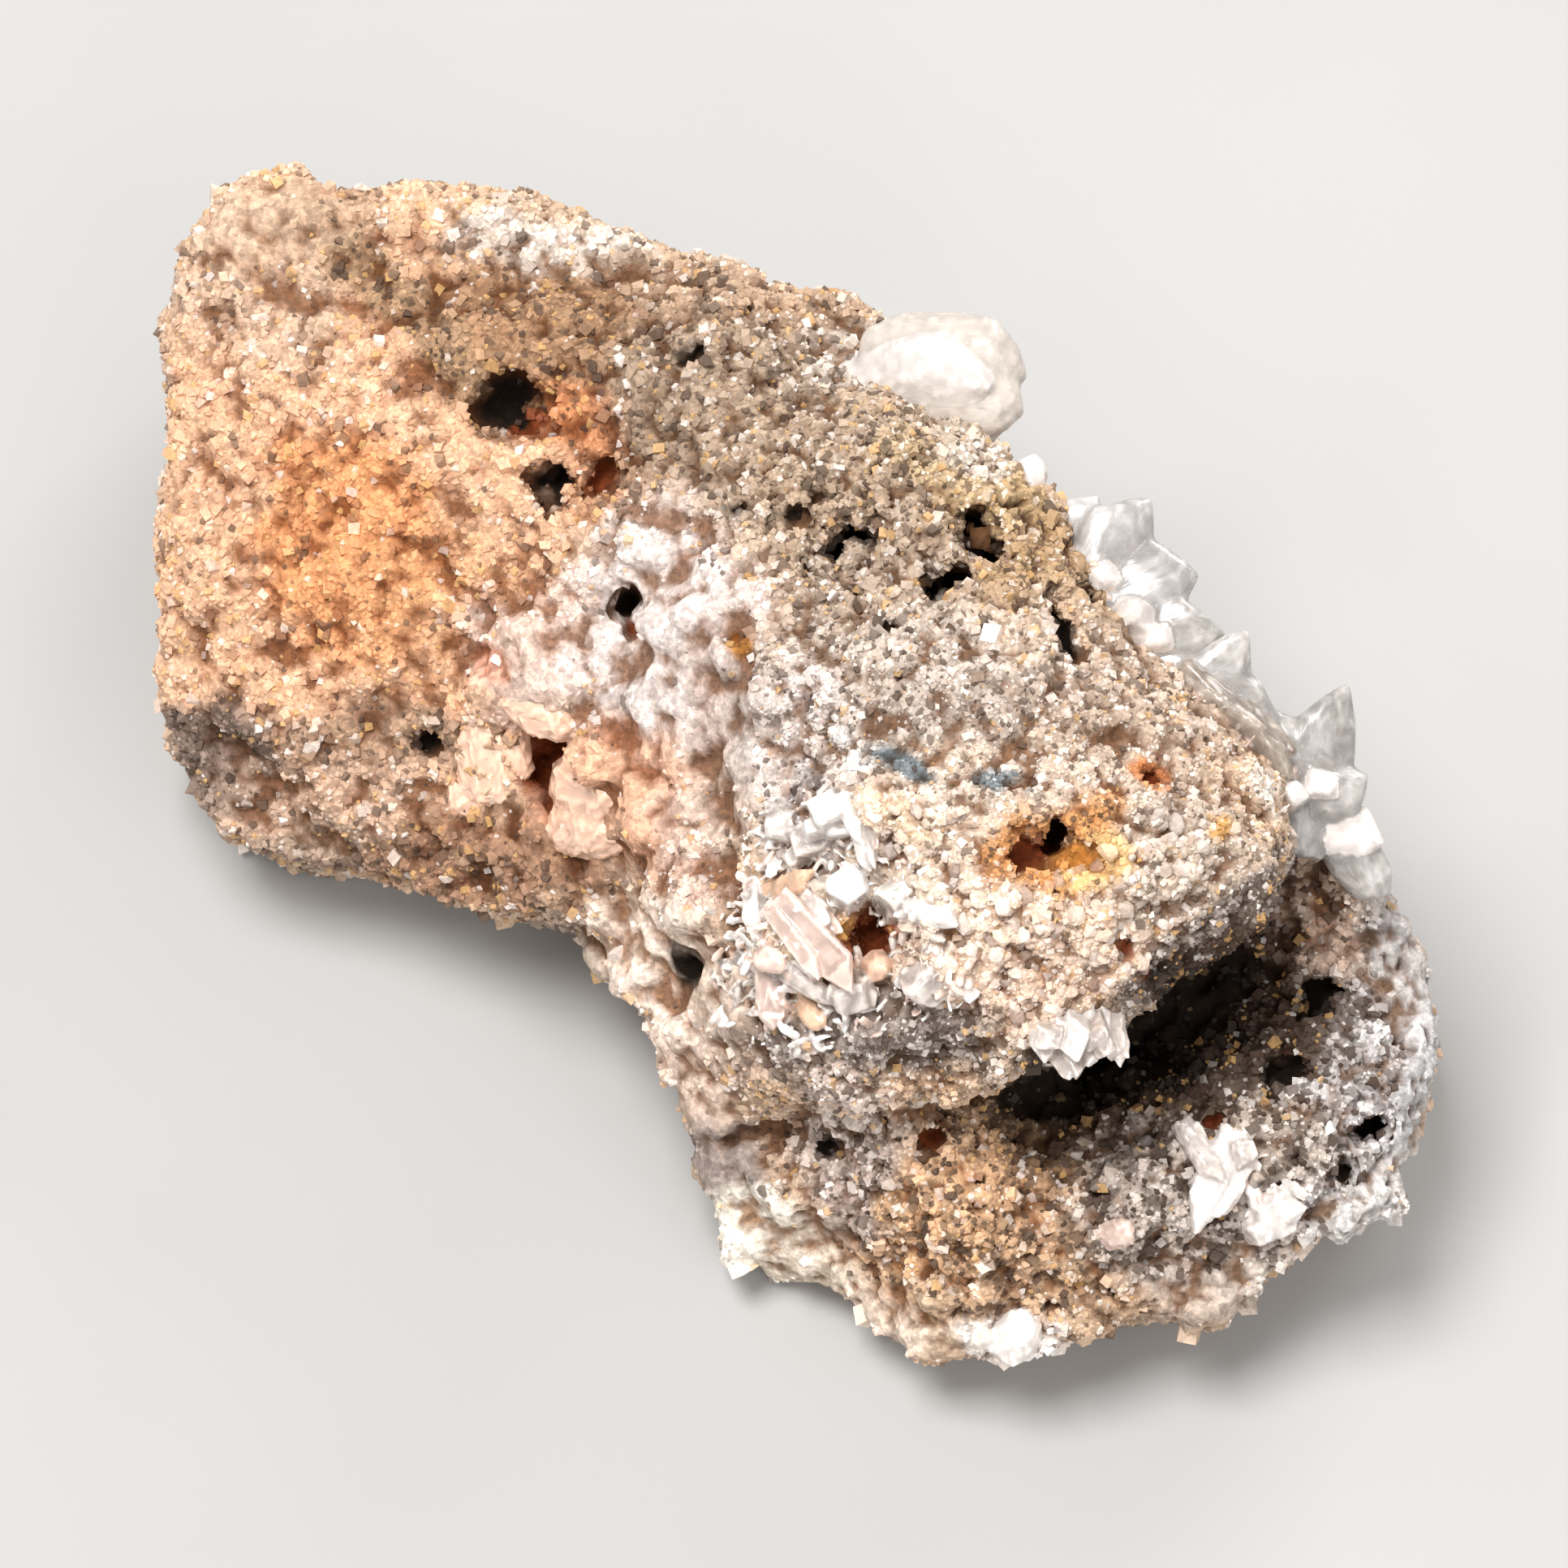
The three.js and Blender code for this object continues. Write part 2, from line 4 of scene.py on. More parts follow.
import bmesh
import bpy
import numpy as np
from bpy.props import FloatProperty, FloatVectorProperty, IntProperty, PointerProperty
from mathutils import Matrix, Vector
from mathutils.bvhtree import BVHTree

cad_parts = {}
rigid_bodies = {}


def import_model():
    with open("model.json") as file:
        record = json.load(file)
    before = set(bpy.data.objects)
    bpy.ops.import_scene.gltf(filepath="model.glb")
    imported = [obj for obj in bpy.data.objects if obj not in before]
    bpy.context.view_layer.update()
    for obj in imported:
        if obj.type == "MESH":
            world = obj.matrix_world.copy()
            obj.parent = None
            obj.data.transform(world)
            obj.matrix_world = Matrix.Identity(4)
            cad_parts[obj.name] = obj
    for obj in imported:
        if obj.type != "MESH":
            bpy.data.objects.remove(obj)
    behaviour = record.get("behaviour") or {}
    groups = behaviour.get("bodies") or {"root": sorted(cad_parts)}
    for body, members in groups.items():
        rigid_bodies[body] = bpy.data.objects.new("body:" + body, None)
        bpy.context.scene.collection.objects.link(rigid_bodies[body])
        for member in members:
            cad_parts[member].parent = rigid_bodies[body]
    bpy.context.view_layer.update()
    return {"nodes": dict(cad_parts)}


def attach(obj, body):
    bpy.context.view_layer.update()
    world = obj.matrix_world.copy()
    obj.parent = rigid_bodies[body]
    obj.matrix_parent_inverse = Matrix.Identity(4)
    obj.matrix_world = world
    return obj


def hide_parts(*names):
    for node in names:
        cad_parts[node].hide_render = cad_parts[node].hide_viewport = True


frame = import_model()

bl_info = {
    "name": "Barite Crystal Cluster",
    "version": (1, 0, 0),
    "blender": (4, 5, 0),
    "location": "View3D > Sidebar > Barite",
    "description": "Dresses the rock and the barite crystals of a mineral specimen",
    "category": "Object",
}

# ---- The specimen's own axes ----
# Everything is shaped in millimetres in the face frame: U to the right, V up the display face
# and W out of it. The face leans back, and FACE_ORIGIN is its datum in the row frame.
FACE_ELEVATION = math.radians(60)
FACE_ORIGIN = (-0.374, -14.483, 30.0)
TO_ROW = (
    Matrix.Scale(0.001, 4)
    @ Matrix.Translation(FACE_ORIGIN)
    @ Matrix.Rotation(math.pi / 2 - FACE_ELEVATION, 4, "X")
)
TO_FACE = TO_ROW.inverted()
BACKDROP = -12.0  # mm along W, the depth taken where there is no rock
CAMERA_DISTANCE = 350.0  # mm from the datum, along W
CAMERA_HALF_WIDTH = 34.776  # mm of the datum plane that half the view takes in

# Mesh sizes in mm of the solid's first skin, of the skin with its nodules and of the pits.
SKIN_VOXEL = 0.42
NODULE_VOXEL = 0.3
PIT_VOXEL = 0.14
MATRIX_LIMIT = 188000  # triangles in the rock
SHARP_ANGLE = math.radians(40)  # edges of the crystals that stay sharp in the shading

# ---- Pits: place on the face, half sizes, depth and turn; the wall's colour, a rust or ochre stain or black painted shade ----
# Black is painted shade in the pits; rust and ochre are stains in them.
SHADE_BLACK = (0.012, 0.007, 0.004)
RUST = (0.16, 0.035, 0.01)
OCHRE = (0.42, 0.17, 0.035)
PITS = [
    # back block
    ((-12.8, 17.4), (1.7, 1.7), 3.4, 30, SHADE_BLACK),
    ((-11.8, 16.6), (1.1, 0.9), 2.6, 0, RUST),
    ((-10.8, 13.8), (1.1, 1.5), 2.6, 12, SHADE_BLACK),
    ((-8.4, 14.0), (0.8, 1.1), 2.2, -35, RUST),
    ((-16.8, 2.0), (0.9, 0.7), 1.8, 0, SHADE_BLACK),
    ((-4.2, 19.8), (0.9, 0.5), 1.4, 30, SHADE_BLACK),
    # left flank
    ((-11.0, 0.8), (1.5, 2.4), 4.2, 8, RUST),
    ((-7.3, 8.3), (0.9, 0.6), 1.6, 40, SHADE_BLACK),
    ((-6.9, 7.1), (0.6, 0.5), 1.3, 0, RUST),
    ((-4.4, -8.1), (0.8, 1.2), 1.8, 20, SHADE_BLACK),
    ((-2.0, 12.4), (0.9, 0.4), 1.2, 0, SHADE_BLACK),
    ((0.3, 12.3), (1.1, 0.35), 1.3, 5, SHADE_BLACK),
    # shoulder
    ((2.4, 10.6), (0.7, 0.7), 2.2, 25, SHADE_BLACK),
    ((3.7, 11.2), (0.8, 0.5), 2.2, 15, SHADE_BLACK),
    ((3.0, 11.6), (0.4, 0.4), 1.6, 0, SHADE_BLACK),
    ((4.6, 7.1), (0.7, 0.35), 1.5, -10, SHADE_BLACK),
    ((6.6, 8.7), (0.7, 0.6), 2.3, 30, SHADE_BLACK),
    ((7.7, 9.3), (0.6, 0.8), 2.3, -40, SHADE_BLACK),
    ((8.6, 11.8), (0.4, 0.8), 2.3, 15, SHADE_BLACK),
    ((9.2, 10.4), (0.5, 0.9), 2.5, 10, SHADE_BLACK),
    ((12.1, 8.2), (0.5, 0.9), 2.6, 25, SHADE_BLACK),
    ((12.8, 6.4), (0.5, 1.2), 2.6, 5, SHADE_BLACK),
    ((13.9, 8.6), (0.4, 0.6), 1.6, 0, SHADE_BLACK),
    # front block
    ((10.7, -3.1), (1.1, 0.7), 2.0, 20, RUST),
    ((12.0, -2.2), (0.5, 0.75), 2.6, -20, SHADE_BLACK),
    ((13.2, -3.3), (1.1, 0.7), 1.2, 20, OCHRE),
    ((16.4, 0.1), (0.6, 0.5), 1.0, 0, RUST),
    ((15.2, -7.3), (0.35, 0.7), 1.1, 20, RUST),
    ((15.9, -8.3), (0.3, 0.5), 1.0, 30, RUST),
    ((11.7, -10.0), (0.35, 0.3), 0.9, 0, RUST),
    ((3.9, -6.9), (1.3, 1.1), 3.4, -15, RUST),
    ((4.3, -7.2), (0.8, 0.6), 3.6, 0, SHADE_BLACK),
    # the hollow under the front block's lip
    ((14.6, -13.0), (4.6, 1.7), 7.0, 28, SHADE_BLACK),
    ((18.6, -10.2), (3.6, 1.6), 6.0, 40, SHADE_BLACK),
    ((11.6, -14.2), (1.8, 0.9), 3.5, 10, SHADE_BLACK),
    # lower right
    ((24.7, -9.8), (0.9, 1.3), 2.2, -25, SHADE_BLACK),
    ((22.8, -13.4), (1.3, 0.8), 2.0, 10, SHADE_BLACK),
    ((27.0, -15.8), (0.9, 0.8), 2.0, 0, SHADE_BLACK),
    ((25.6, -17.7), (0.8, 0.6), 1.8, 20, SHADE_BLACK),
    ((6.7, -16.2), (0.7, 0.5), 1.5, 15, RUST),
    ((2.0, -16.7), (0.6, 0.7), 1.4, 0, SHADE_BLACK),
    ((19.8, -15.6), (0.6, 0.5), 1.4, 0, RUST),
]

# ---- Colours of the stone ----
GROUND_TINT = (0.6, 0.43, 0.3)
GROUND_PALE = 0.2  # share of pale grains where no patch changes it
GROUND_DARK = 0.12
DUST_TINT = (0.44, 0.37, 0.32)  # on the sides and the back
STAIN_TINT = (0.06, 0.036, 0.022)  # among many dark grains
# Painted shade in the pores, near-black and warm.
PORE_SHADE = (0.07, 0.035, 0.018)
CREVICE_SHADE = (0.3, 0.2, 0.14)  # share of each colour left in the deepest crevices
GRAIN_WHITE = np.array([0.88, 0.8, 0.74])
GRAIN_BROWN = np.array([0.07, 0.04, 0.025])
GRAIN_GOLD = np.array([0.6, 0.35, 0.13])
SHADE_BELOW = 0.11  # patches darker than this paint the hollow's shade and keep it on its hidden walls; all others fade out on the sides

# Finishes of the stone: how fine its noise is, how much that mottles it, how much its cells speckle
# it, the height of its bumps in metres and its index of refraction.
STONES = {
    "sand_grains": (5200.0, 0.45, 0.25, 0.00006, 1.46),
    "crumbly_matrix": (3400.0, 0.7, 0.75, 0.00014, 1.25),
}

# ---- Colour patches: place, half sizes, turn, colour, share taken, pale and dark grains ----
PATCHES = [
    # warm back block
    ((-21, 13), (11, 16), 0, (0.72, 0.44, 0.28), 1, 0.12, 0.05),
    ((-25, 24), (5, 4), 0, (0.6, 0.42, 0.3), 0.9, 0.15, 0.08),
    ((-20.5, 11), (4.5, 5), 20, (0.76, 0.33, 0.13), 0.8, 0.08, 0.08),
    ((-15.5, 8), (5, 3), -30, (0.72, 0.38, 0.19), 0.6, 0.1, 0.1),
    ((-11, 20.5), (7.5, 4), -20, (0.3, 0.165, 0.085), 0.85, 0.08, 0.2),
    ((-17.6, 22.2), (6.5, 1.4), -42, (0.38, 0.24, 0.14), 0.85, 0.05, 0.35),
    ((-10.5, 25.3), (5, 1.8), -8, (0.7, 0.62, 0.55), 0.8, 0.4, 0.12),
    ((-22, 26.5), (3.5, 2), 0, (0.46, 0.31, 0.21), 0.7, 0.1, 0.15),
    ((-10.8, 17.2), (2.8, 2.4), 0, (0.6, 0.24, 0.1), 0.8, 0.05, 0.2),
    ((-8.5, 14.2), (3.4, 2), 0, (0.46, 0.22, 0.11), 0.7, 0.08, 0.2),
    ((-26.5, 1.5), (3, 3), 0, (0.2, 0.15, 0.13), 0.85, 0.08, 0.4),
    ((-18.5, 2.5), (5, 1.9), 0, (0.38, 0.25, 0.17), 0.8, 0.1, 0.3),
    ((-21.5, -0.6), (5, 2), 0, (0.6, 0.42, 0.31), 0.7, 0.2, 0.15),
    ((-23, -3), (5, 1.5), 0, (0.33, 0.24, 0.18), 0.8, 0.12, 0.25),
    ((-14, -3.6), (5.5, 2.6), 0, (0.32, 0.17, 0.1), 0.85, 0.08, 0.25),
    # saddle behind the shoulder
    ((-3, 17.5), (6, 4.5), 0, (0.34, 0.25, 0.18), 0.85, 0.2, 0.25),
    ((-3, 23), (6, 1.8), -12, (0.4, 0.27, 0.18), 0.8, 0.2, 0.2),
    ((5, 18), (5, 3), -20, (0.42, 0.33, 0.25), 0.85, 0.25, 0.25),
    # flank
    ((-5.5, 6.5), (4.8, 6.5), 0, (0.8, 0.7, 0.66), 0.9, 0.45, 0.08),
    ((-12.2, 6.3), (3.4, 2.8), 0, (0.78, 0.6, 0.52), 0.8, 0.4, 0.08),
    ((-13.6, 5.4), (1, 0.9), 0, (0.8, 0.34, 0.2), 0.6, 0.1, 0.05),
    ((-8, -0.8), (4, 3.8), 0, (0.76, 0.43, 0.28), 0.85, 0.3, 0.08),
    ((-2.6, 3.5), (2, 6), 0, (0.6, 0.48, 0.42), 0.7, 0.4, 0.15),
    ((-4.3, -3.3), (2, 3), 0, (0.72, 0.54, 0.46), 0.7, 0.4, 0.1),
    ((-6.5, -9), (4.5, 4.5), 0, (0.98, 0.81, 0.69), 0.9, 0.3, 0.05),
    ((-4, -13.8), (1.7, 3.2), 22, (0.74, 0.57, 0.47), 0.85, 0.3, 0.05),
    ((-2, -11), (2, 2.6), 0, (0.55, 0.42, 0.34), 0.7, 0.3, 0.15),
    ((-2.6, -17.6), (1.9, 2.4), 8, (0.3, 0.25, 0.23), 0.9, 0.2, 0.15),
    ((0.4, -21.6), (4.4, 1.7), -33, (1.0, 0.92, 0.8), 0.95, 0.2, 0.02),
    ((5, -24.6), (2.6, 1.3), -28, (0.9, 0.74, 0.62), 0.85, 0.3, 0.03),
    # shoulder
    ((6.8, 11.6), (9.5, 5.5), -15, (0.42, 0.31, 0.22), 0.9, 0.22, 0.28),
    ((4, 8.5), (5, 2.6), 0, (0.46, 0.37, 0.3), 0.6, 0.25, 0.25),
    ((12.4, 10), (3.2, 5.5), 42, (0.4, 0.25, 0.12), 0.75, 0.15, 0.25),
    ((8.2, 14.6), (4.5, 2), -30, (0.5, 0.36, 0.2), 0.7, 0.25, 0.2),
    ((8.8, 17.4), (2.6, 2.2), 0, (0.68, 0.6, 0.52), 0.8, 0.5, 0.1),
    ((4.0, 20.2), (3.2, 1.5), -20, (0.64, 0.57, 0.5), 0.75, 0.45, 0.1),
    # front block
    ((9.5, -2.5), (10.5, 10.5), 0, (0.66, 0.53, 0.425), 0.95, 0.45, 0.12),
    ((6, 4.8), (7, 3), -5, (0.5, 0.42, 0.36), 0.8, 0.3, 0.25),
    ((15.5, 3.4), (4.5, 3.6), -35, (0.44, 0.33, 0.25), 0.75, 0.3, 0.2),
    ((0.6, 1.5), (2.6, 4), 0, (0.66, 0.58, 0.54), 0.8, 0.45, 0.2),
    ((0.8, -1.8), (2, 2), 0, (0.45, 0.41, 0.4), 0.7, 0.5, 0.25),
    ((4.6, -1.6), (2.6, 1.2), -10, (0.8, 0.6, 0.42), 0.7, 0.35, 0.05),
    ((12, -7.5), (6.5, 3.6), 10, (0.69, 0.5, 0.37), 0.75, 0.4, 0.12),
    ((8.5, -4.8), (3, 2), 0, (0.8, 0.64, 0.5), 0.7, 0.5, 0.05),
    ((18, -3.2), (3.4, 2.4), 20, (0.42, 0.33, 0.26), 0.7, 0.35, 0.2),
    ((19.4, -6.3), (5.5, 1.4), 38, (0.26, 0.22, 0.2), 0.85, 0.3, 0.35),
    ((4.2, -11.8), (5.6, 1.9), 0, (0.25, 0.21, 0.19), 0.9, 0.3, 0.35),
    ((5.5, 1.1), (1.7, 0.55), -32, (0.14, 0.18, 0.2), 0.92, 0.12, 0.3),
    ((9.9, 0.0), (1.3, 0.5), -4, (0.14, 0.18, 0.2), 0.92, 0.12, 0.3),
    ((3.3, 1.7), (0.9, 0.9), 0, (0.75, 0.74, 0.73), 0.7, 0.6, 0),
    ((-1.9, 6.4), (0.6, 0.8), 20, (0.5, 0.22, 0.04), 0.95, 0, 0.1),
    ((11.6, -2.7), (2.7, 1.8), 10, (0.6, 0.27, 0.08), 0.9, 0.05, 0.3),
    ((13.6, -3.5), (1.4, 0.9), 15, (0.76, 0.5, 0.23), 0.9, 0.05, 0.05),
    ((16.4, 0), (0.9, 0.8), 0, (0.55, 0.19, 0.05), 0.9, 0, 0.1),
    ((19.5, -2), (0.6, 0.6), 0, (0.6, 0.3, 0.06), 0.8, 0, 0.1),
    ((3.9, -6.5), (1.7, 1.5), -15, (0.34, 0.1, 0.03), 0.95, 0, 0.2),
    ((2.9, -6.2), (0.8, 0.5), 30, (0.75, 0.42, 0.14), 0.9, 0.1, 0),
    # lower right block
    ((12, -19.5), (10, 6), 0, (0.58, 0.39, 0.25), 0.95, 0.25, 0.38),
    ((8, -19), (5, 3.8), 0, (0.72, 0.44, 0.25), 0.8, 0.22, 0.36),
    ((2.5, -17), (2.4, 4), 0, (0.6, 0.5, 0.45), 0.85, 0.3, 0.35),
    ((14, -16.2), (4, 1.8), 14, (0.26, 0.16, 0.09), 0.85, 0.18, 0.45),
    ((18.5, -19.5), (4.5, 4), 0, (0.56, 0.49, 0.44), 0.85, 0.4, 0.42),
    ((25, -15), (5.5, 6.5), 0, (0.6, 0.58, 0.58), 0.9, 0.5, 0.42),
    ((21.6, -16.4), (3.4, 2.6), 0, (0.4, 0.3, 0.22), 0.7, 0.35, 0.45),
    # The hollow under the front block's lip: dark-speckled stone deepened by painted shade, then near-black
    # painted shade.
    ((21.2, -9.8), (6.8, 4.1), 46, (0.075, 0.042, 0.024), 0.95, 0.14, 0.5),
    ((16.0, -12.4), (7.6, 3.0), 34, (0.016, 0.009, 0.005), 0.98, 0.03, 0.2),
    ((26, -5.6), (3.0, 3.4), -10, (0.56, 0.41, 0.32), 0.9, 0.25, 0.3),
    ((28.9, -8.5), (1.5, 4.6), 16, (0.5, 0.48, 0.47), 0.9, 0.5, 0.06),
    ((29.6, -14.5), (1.3, 3.6), -12, (0.5, 0.49, 0.49), 0.9, 0.5, 0.06),
    ((26.8, -19.6), (1.3, 3.4), -45, (0.66, 0.62, 0.59), 0.9, 0.5, 0.05),
    ((25.5, -0.8), (4, 1.9), -30, (0.74, 0.7, 0.65), 0.85, 0.6, 0.05),
    ((10.6, -25.8), (2.4, 1.4), 0, (0.84, 0.79, 0.75), 0.9, 0.7, 0),
    ((22.4, -22.8), (3.4, 1.1), 25, (0.64, 0.56, 0.5), 0.85, 0.5, 0.06),
    ((19.5, -24), (3, 1.4), 0, (0.52, 0.42, 0.35), 0.8, 0.3, 0.2),
]

# ---- Crystals: form, foot, tip, width, thickness, roll in degrees, tint ----
# Each tint's last number is how clear it is.
CLEAR = (0.74, 0.65, 0.59, 1.0)
PINK = (0.8, 0.6, 0.51, 0.75)
MILKY = (0.8, 0.73, 0.68, 0.55)
CREAM = (0.6, 0.53, 0.465, 0.4)
PALE = (0.55, 0.52, 0.5, 0.85)
GREY = (0.46, 0.43, 0.405, 0.9)
SMOKY = (0.42, 0.35, 0.29, 0.9)
TAN = (0.66, 0.43, 0.29, 0.4)
PEACH = (0.72, 0.46, 0.33, 0.15)
CLUSTERS = {
    "vug_blades": (True, [
        ("plate", (0.5, -6.1, 0.3), (3.0, -8.8, 1.3), 1.8, 0.7, 20, PINK),
        ("blade", (-0.8, -5.9, 0.2), (1.2, -8.4, 1.1), 1.1, 0.6, 35, CLEAR),
        ("blade", (0.2, -8.6, 0.2), (2.5, -9.8, 0.9), 1.0, 0.7, 20, CLEAR),
        ("plate", (-0.7, -8.8, 0.0), (-0.4, -11.0, 0.9), 1.3, 0.8, 10, PINK),
        ("blade", (2.7, -1.0, 0.2), (3.5, -2.6, 0.8), 0.8, 0.7, 60, MILKY),
        ("blade", (3.4, -2.2, 0.2), (3.8, -3.9, 0.8), 0.8, 0.7, 40, MILKY),
        ("blade", (-0.2, -4.6, 0.0), (1.4, -3.9, 0.9), 0.9, 0.7, -20, TAN),
        ("lump", (-0.5, -5.2, -0.2), (0.9, -4.8, 0.5), 1.0, 0.8, 15, TAN),
        ("blade", (-1.4, -5.0, 0.0), (-1.4, -6.8, 0.9), 1.1, 0.8, 30, MILKY),
        ("block", (2.1, -1.5, -0.5), (2.0, -0.9, 1.3), 1.7, 1.4, 15, MILKY),
        ("block", (1.4, -2.6, -0.5), (1.2, -2.3, 0.6), 1.9, 1.5, -15, CLEAR),
        ("block", (0.1, -2.0, -0.5), (-0.3, -1.6, 0.6), 1.6, 1.3, 40, CLEAR),
        ("block", (3.0, -4.8, -0.5), (2.8, -4.4, 0.9), 1.8, 1.6, 10, MILKY),
        ("block", (4.8, -5.2, -0.6), (5.0, -4.7, 0.9), 1.4, 1.4, -25, CLEAR),
        ("lump", (6.0, -5.6, -0.5), (7.6, -6.0, 0.4), 1.2, 1.0, 10, MILKY),
        ("block", (3.2, -9.2, -0.2), (3.1, -9.7, 1.3), 1.8, 1.3, 30, CLEAR),
        ("block", (6.2, -8.6, -0.6), (6.5, -9.3, 1.1), 1.8, 1.7, 20, CLEAR),
        ("block", (8.1, -8.9, -0.4), (8.3, -9.3, 0.6), 0.9, 0.9, 10, MILKY),
        ("lump", (4.1, -8.0, -1.2), (4.3, -8.4, 0.3), 1.3, 1.2, 15, PEACH),
        ("lump", (-0.5, -7.6, -0.4), (-0.8, -8.4, 0.6), 1.6, 1.3, 25, PINK),
        ("blade", (1.2, -5.4, 0.0), (2.0, -6.2, 0.7), 1.0, 0.6, 60, CLEAR),
        ("blade", (-1.9, -7.8, -0.2), (-2.6, -8.5, 0.6), 0.9, 0.6, 70, CLEAR),
        ("lump", (1.0, -10.0, -0.2), (1.7, -10.8, 0.4), 1.2, 0.9, 30, TAN),
        ("lump", (-1.4, -10.2, -0.4), (-1.6, -11.0, 0.4), 1.2, 1.0, 0, PINK),
        ("blade", (5.5, -6.4, -0.4), (7.0, -6.8, 0.5), 1.0, 0.7, 20, CLEAR),
    ]),
    "lip_tuft": (False, [
        ("blade", (12.2, -10.4, -2.2), (12.6, -13.1, -0.8), 1.7, 0.6, 20, CLEAR),
        ("blade", (11.4, -10.5, -2.2), (11.7, -12.3, -0.8), 1.3, 0.6, -15, MILKY),
        ("blade", (13.1, -10.4, -2.0), (12.9, -12.9, -0.7), 1.6, 0.6, -10, CLEAR),
        ("blade", (13.9, -10.6, -2.2), (13.7, -12.4, -0.8), 1.6, 0.6, 25, MILKY),
        ("blade", (14.7, -10.6, -2.4), (14.8, -12.5, -1.0), 1.3, 0.6, 10, CLEAR),
        ("block", (12.8, -10.9, -1.6), (12.9, -11.7, 0.1), 1.4, 1.0, 60, MILKY),
        ("block", (11.9, -10.9, -1.6), (11.7, -11.4, 0.0), 1.2, 0.9, 20, CLEAR),
        ("block", (14.0, -10.9, -1.8), (14.1, -11.6, -0.2), 1.3, 1.0, 110, CLEAR),
    ]),
    "top_knob": (False, [
        ("lump", (5.4, 19.6, -14.6), (10.9, 19.7, -14.1), 4.2, 2.8, 10, CREAM),
        ("lump", (6.8, 17.6, -14.2), (10.9, 17.9, -14.0), 3.6, 3.0, -10, CREAM),
        ("lump", (4.4, 18.6, -15.0), (8.6, 19.0, -12.4), 4.0, 3.2, 30, MILKY),
        ("lump", (8.4, 16.6, -14.6), (9.6, 16.0, -13.8), 2.4, 2.2, 0, CREAM),
    ]),
    "shoulder_crystals": (False, [
        ("lump", (14.0, 8.2, -11.4), (15.9, 12.9, -10.9), 4.0, 2.0, 10, PALE),
        ("lump", (14.6, 8.0, -11.0), (18.3, 10.2, -10.6), 4.0, 1.9, -10, PALE),
        ("lump", (12.0, 11.2, -11.9), (14.4, 12.6, -11.4), 2.2, 1.4, 10, PALE),
        ("lump", (10.3, 12.9, -12.4), (11.8, 14.9, -12.0), 1.9, 1.6, 20, MILKY),
        ("lump", (9.8, 13.4, -12.2), (10.3, 14.4, -11.6), 1.4, 1.2, 50, CREAM),
        ("lump", (16.0, 6.2, -10.6), (19.6, 7.4, -10.0), 3.2, 1.6, 10, GREY),
        ("block", (15.4, 7.4, -10.6), (16.2, 7.9, -9.0), 1.5, 1.2, 30, MILKY),
        ("block", (14.2, 9.0, -11.0), (14.6, 9.6, -9.6), 1.3, 1.1, 60, MILKY),
        ("block", (16.6, 6.4, -10.2), (17.3, 6.8, -9.0), 1.2, 1.0, 60, MILKY),
    ]),
    "spine_crystals": (False, [
        ("lump", (18.2, 4.2, -10.4), (21.2, 6.3, -9.8), 2.6, 1.4, 12, GREY),
        ("lump", (17.6, 5.4, -10.5), (22.4, 3.2, -9.9), 2.6, 1.7, 0, GREY),
        ("plate", (19.4, 4.0, -9.4), (23.0, 0.5, -8.2), 1.5, 1.0, 30, SMOKY),
        ("blade", (20.4, 4.0, -9.8), (23.2, 1.4, -9.0), 1.0, 0.8, 20, SMOKY),
        ("lump", (24.0, -1.4, -10.4), (25.0, 4.1, -9.8), 3.3, 1.5, 12, GREY),
        ("lump", (21.2, 2.2, -10.4), (25.2, 1.0, -9.9), 2.9, 1.7, 0, GREY),
        ("lump", (23.4, -0.8, -10.5), (26.6, -0.2, -10.0), 2.6, 1.9, 0, GREY),
        ("block", (22.9, -0.5, -9.8), (23.3, -0.4, -8.2), 1.3, 1.1, 20, MILKY),
        ("block", (24.2, -0.2, -10.0), (24.6, 0.1, -8.8), 1.3, 1.1, 45, MILKY),
        ("lump", (24.4, -2.0, -11.0), (27.2, -2.2, -10.5), 2.4, 1.8, 0, MILKY),
        ("lump", (25.4, -2.4, -11.3), (27.3, -5.2, -11.3), 2.4, 1.8, 0, GREY),
        ("block", (25.4, -1.4, -10.8), (25.9, -1.4, -9.9), 1.2, 1.0, 30, MILKY),
    ]),
    "foot_crystals": (True, [
        ("blade", (20.2, -16.9, 0.0), (18.6, -20.3, 0.9), 2.0, 1.0, 15, MILKY),
        ("blade", (18.6, -16.2, 0.0), (19.9, -18.2, 0.8), 1.4, 0.9, -30, CLEAR),
        ("block", (22.0, -19.6, -0.6), (22.6, -19.7, 0.9), 2.3, 1.7, 30, MILKY),
        ("lump", (21.6, -20.0, -0.4), (23.4, -19.2, 0.5), 1.9, 1.5, 20, MILKY),
        ("block", (20.7, -17.4, -0.4), (21.2, -16.6, 0.7), 1.2, 1.1, 40, CLEAR),
        ("lump", (14.8, -20.6, -0.5), (15.8, -20.3, 0.4), 1.6, 1.1, 0, PINK),
        ("lump", (10.0, -25.4, -0.8), (11.6, -25.4, 0.2), 2.6, 1.9, 0, MILKY),
        ("lump", (8.6, -25.5, -1.0), (9.6, -25.2, 0.0), 1.6, 1.4, 0, CREAM),
    ]),
    "side_slabs": (True, [
        ("lump", (-13.6, 3.0, -1.9), (-13.4, -0.8, -1.6), 3.6, 3.4, 15, PEACH),
        ("lump", (-14.8, 0.6, -1.9), (-14.2, -2.0, -1.7), 2.8, 2.8, 15, PEACH),
        ("lump", (-12.2, 4.2, -1.7), (-9.2, 2.8, -1.3), 2.7, 2.8, 10, PEACH),
        ("lump", (-9.8, 3.3, -1.7), (-7.2, 2.2, -1.4), 2.4, 2.6, 10, PINK),
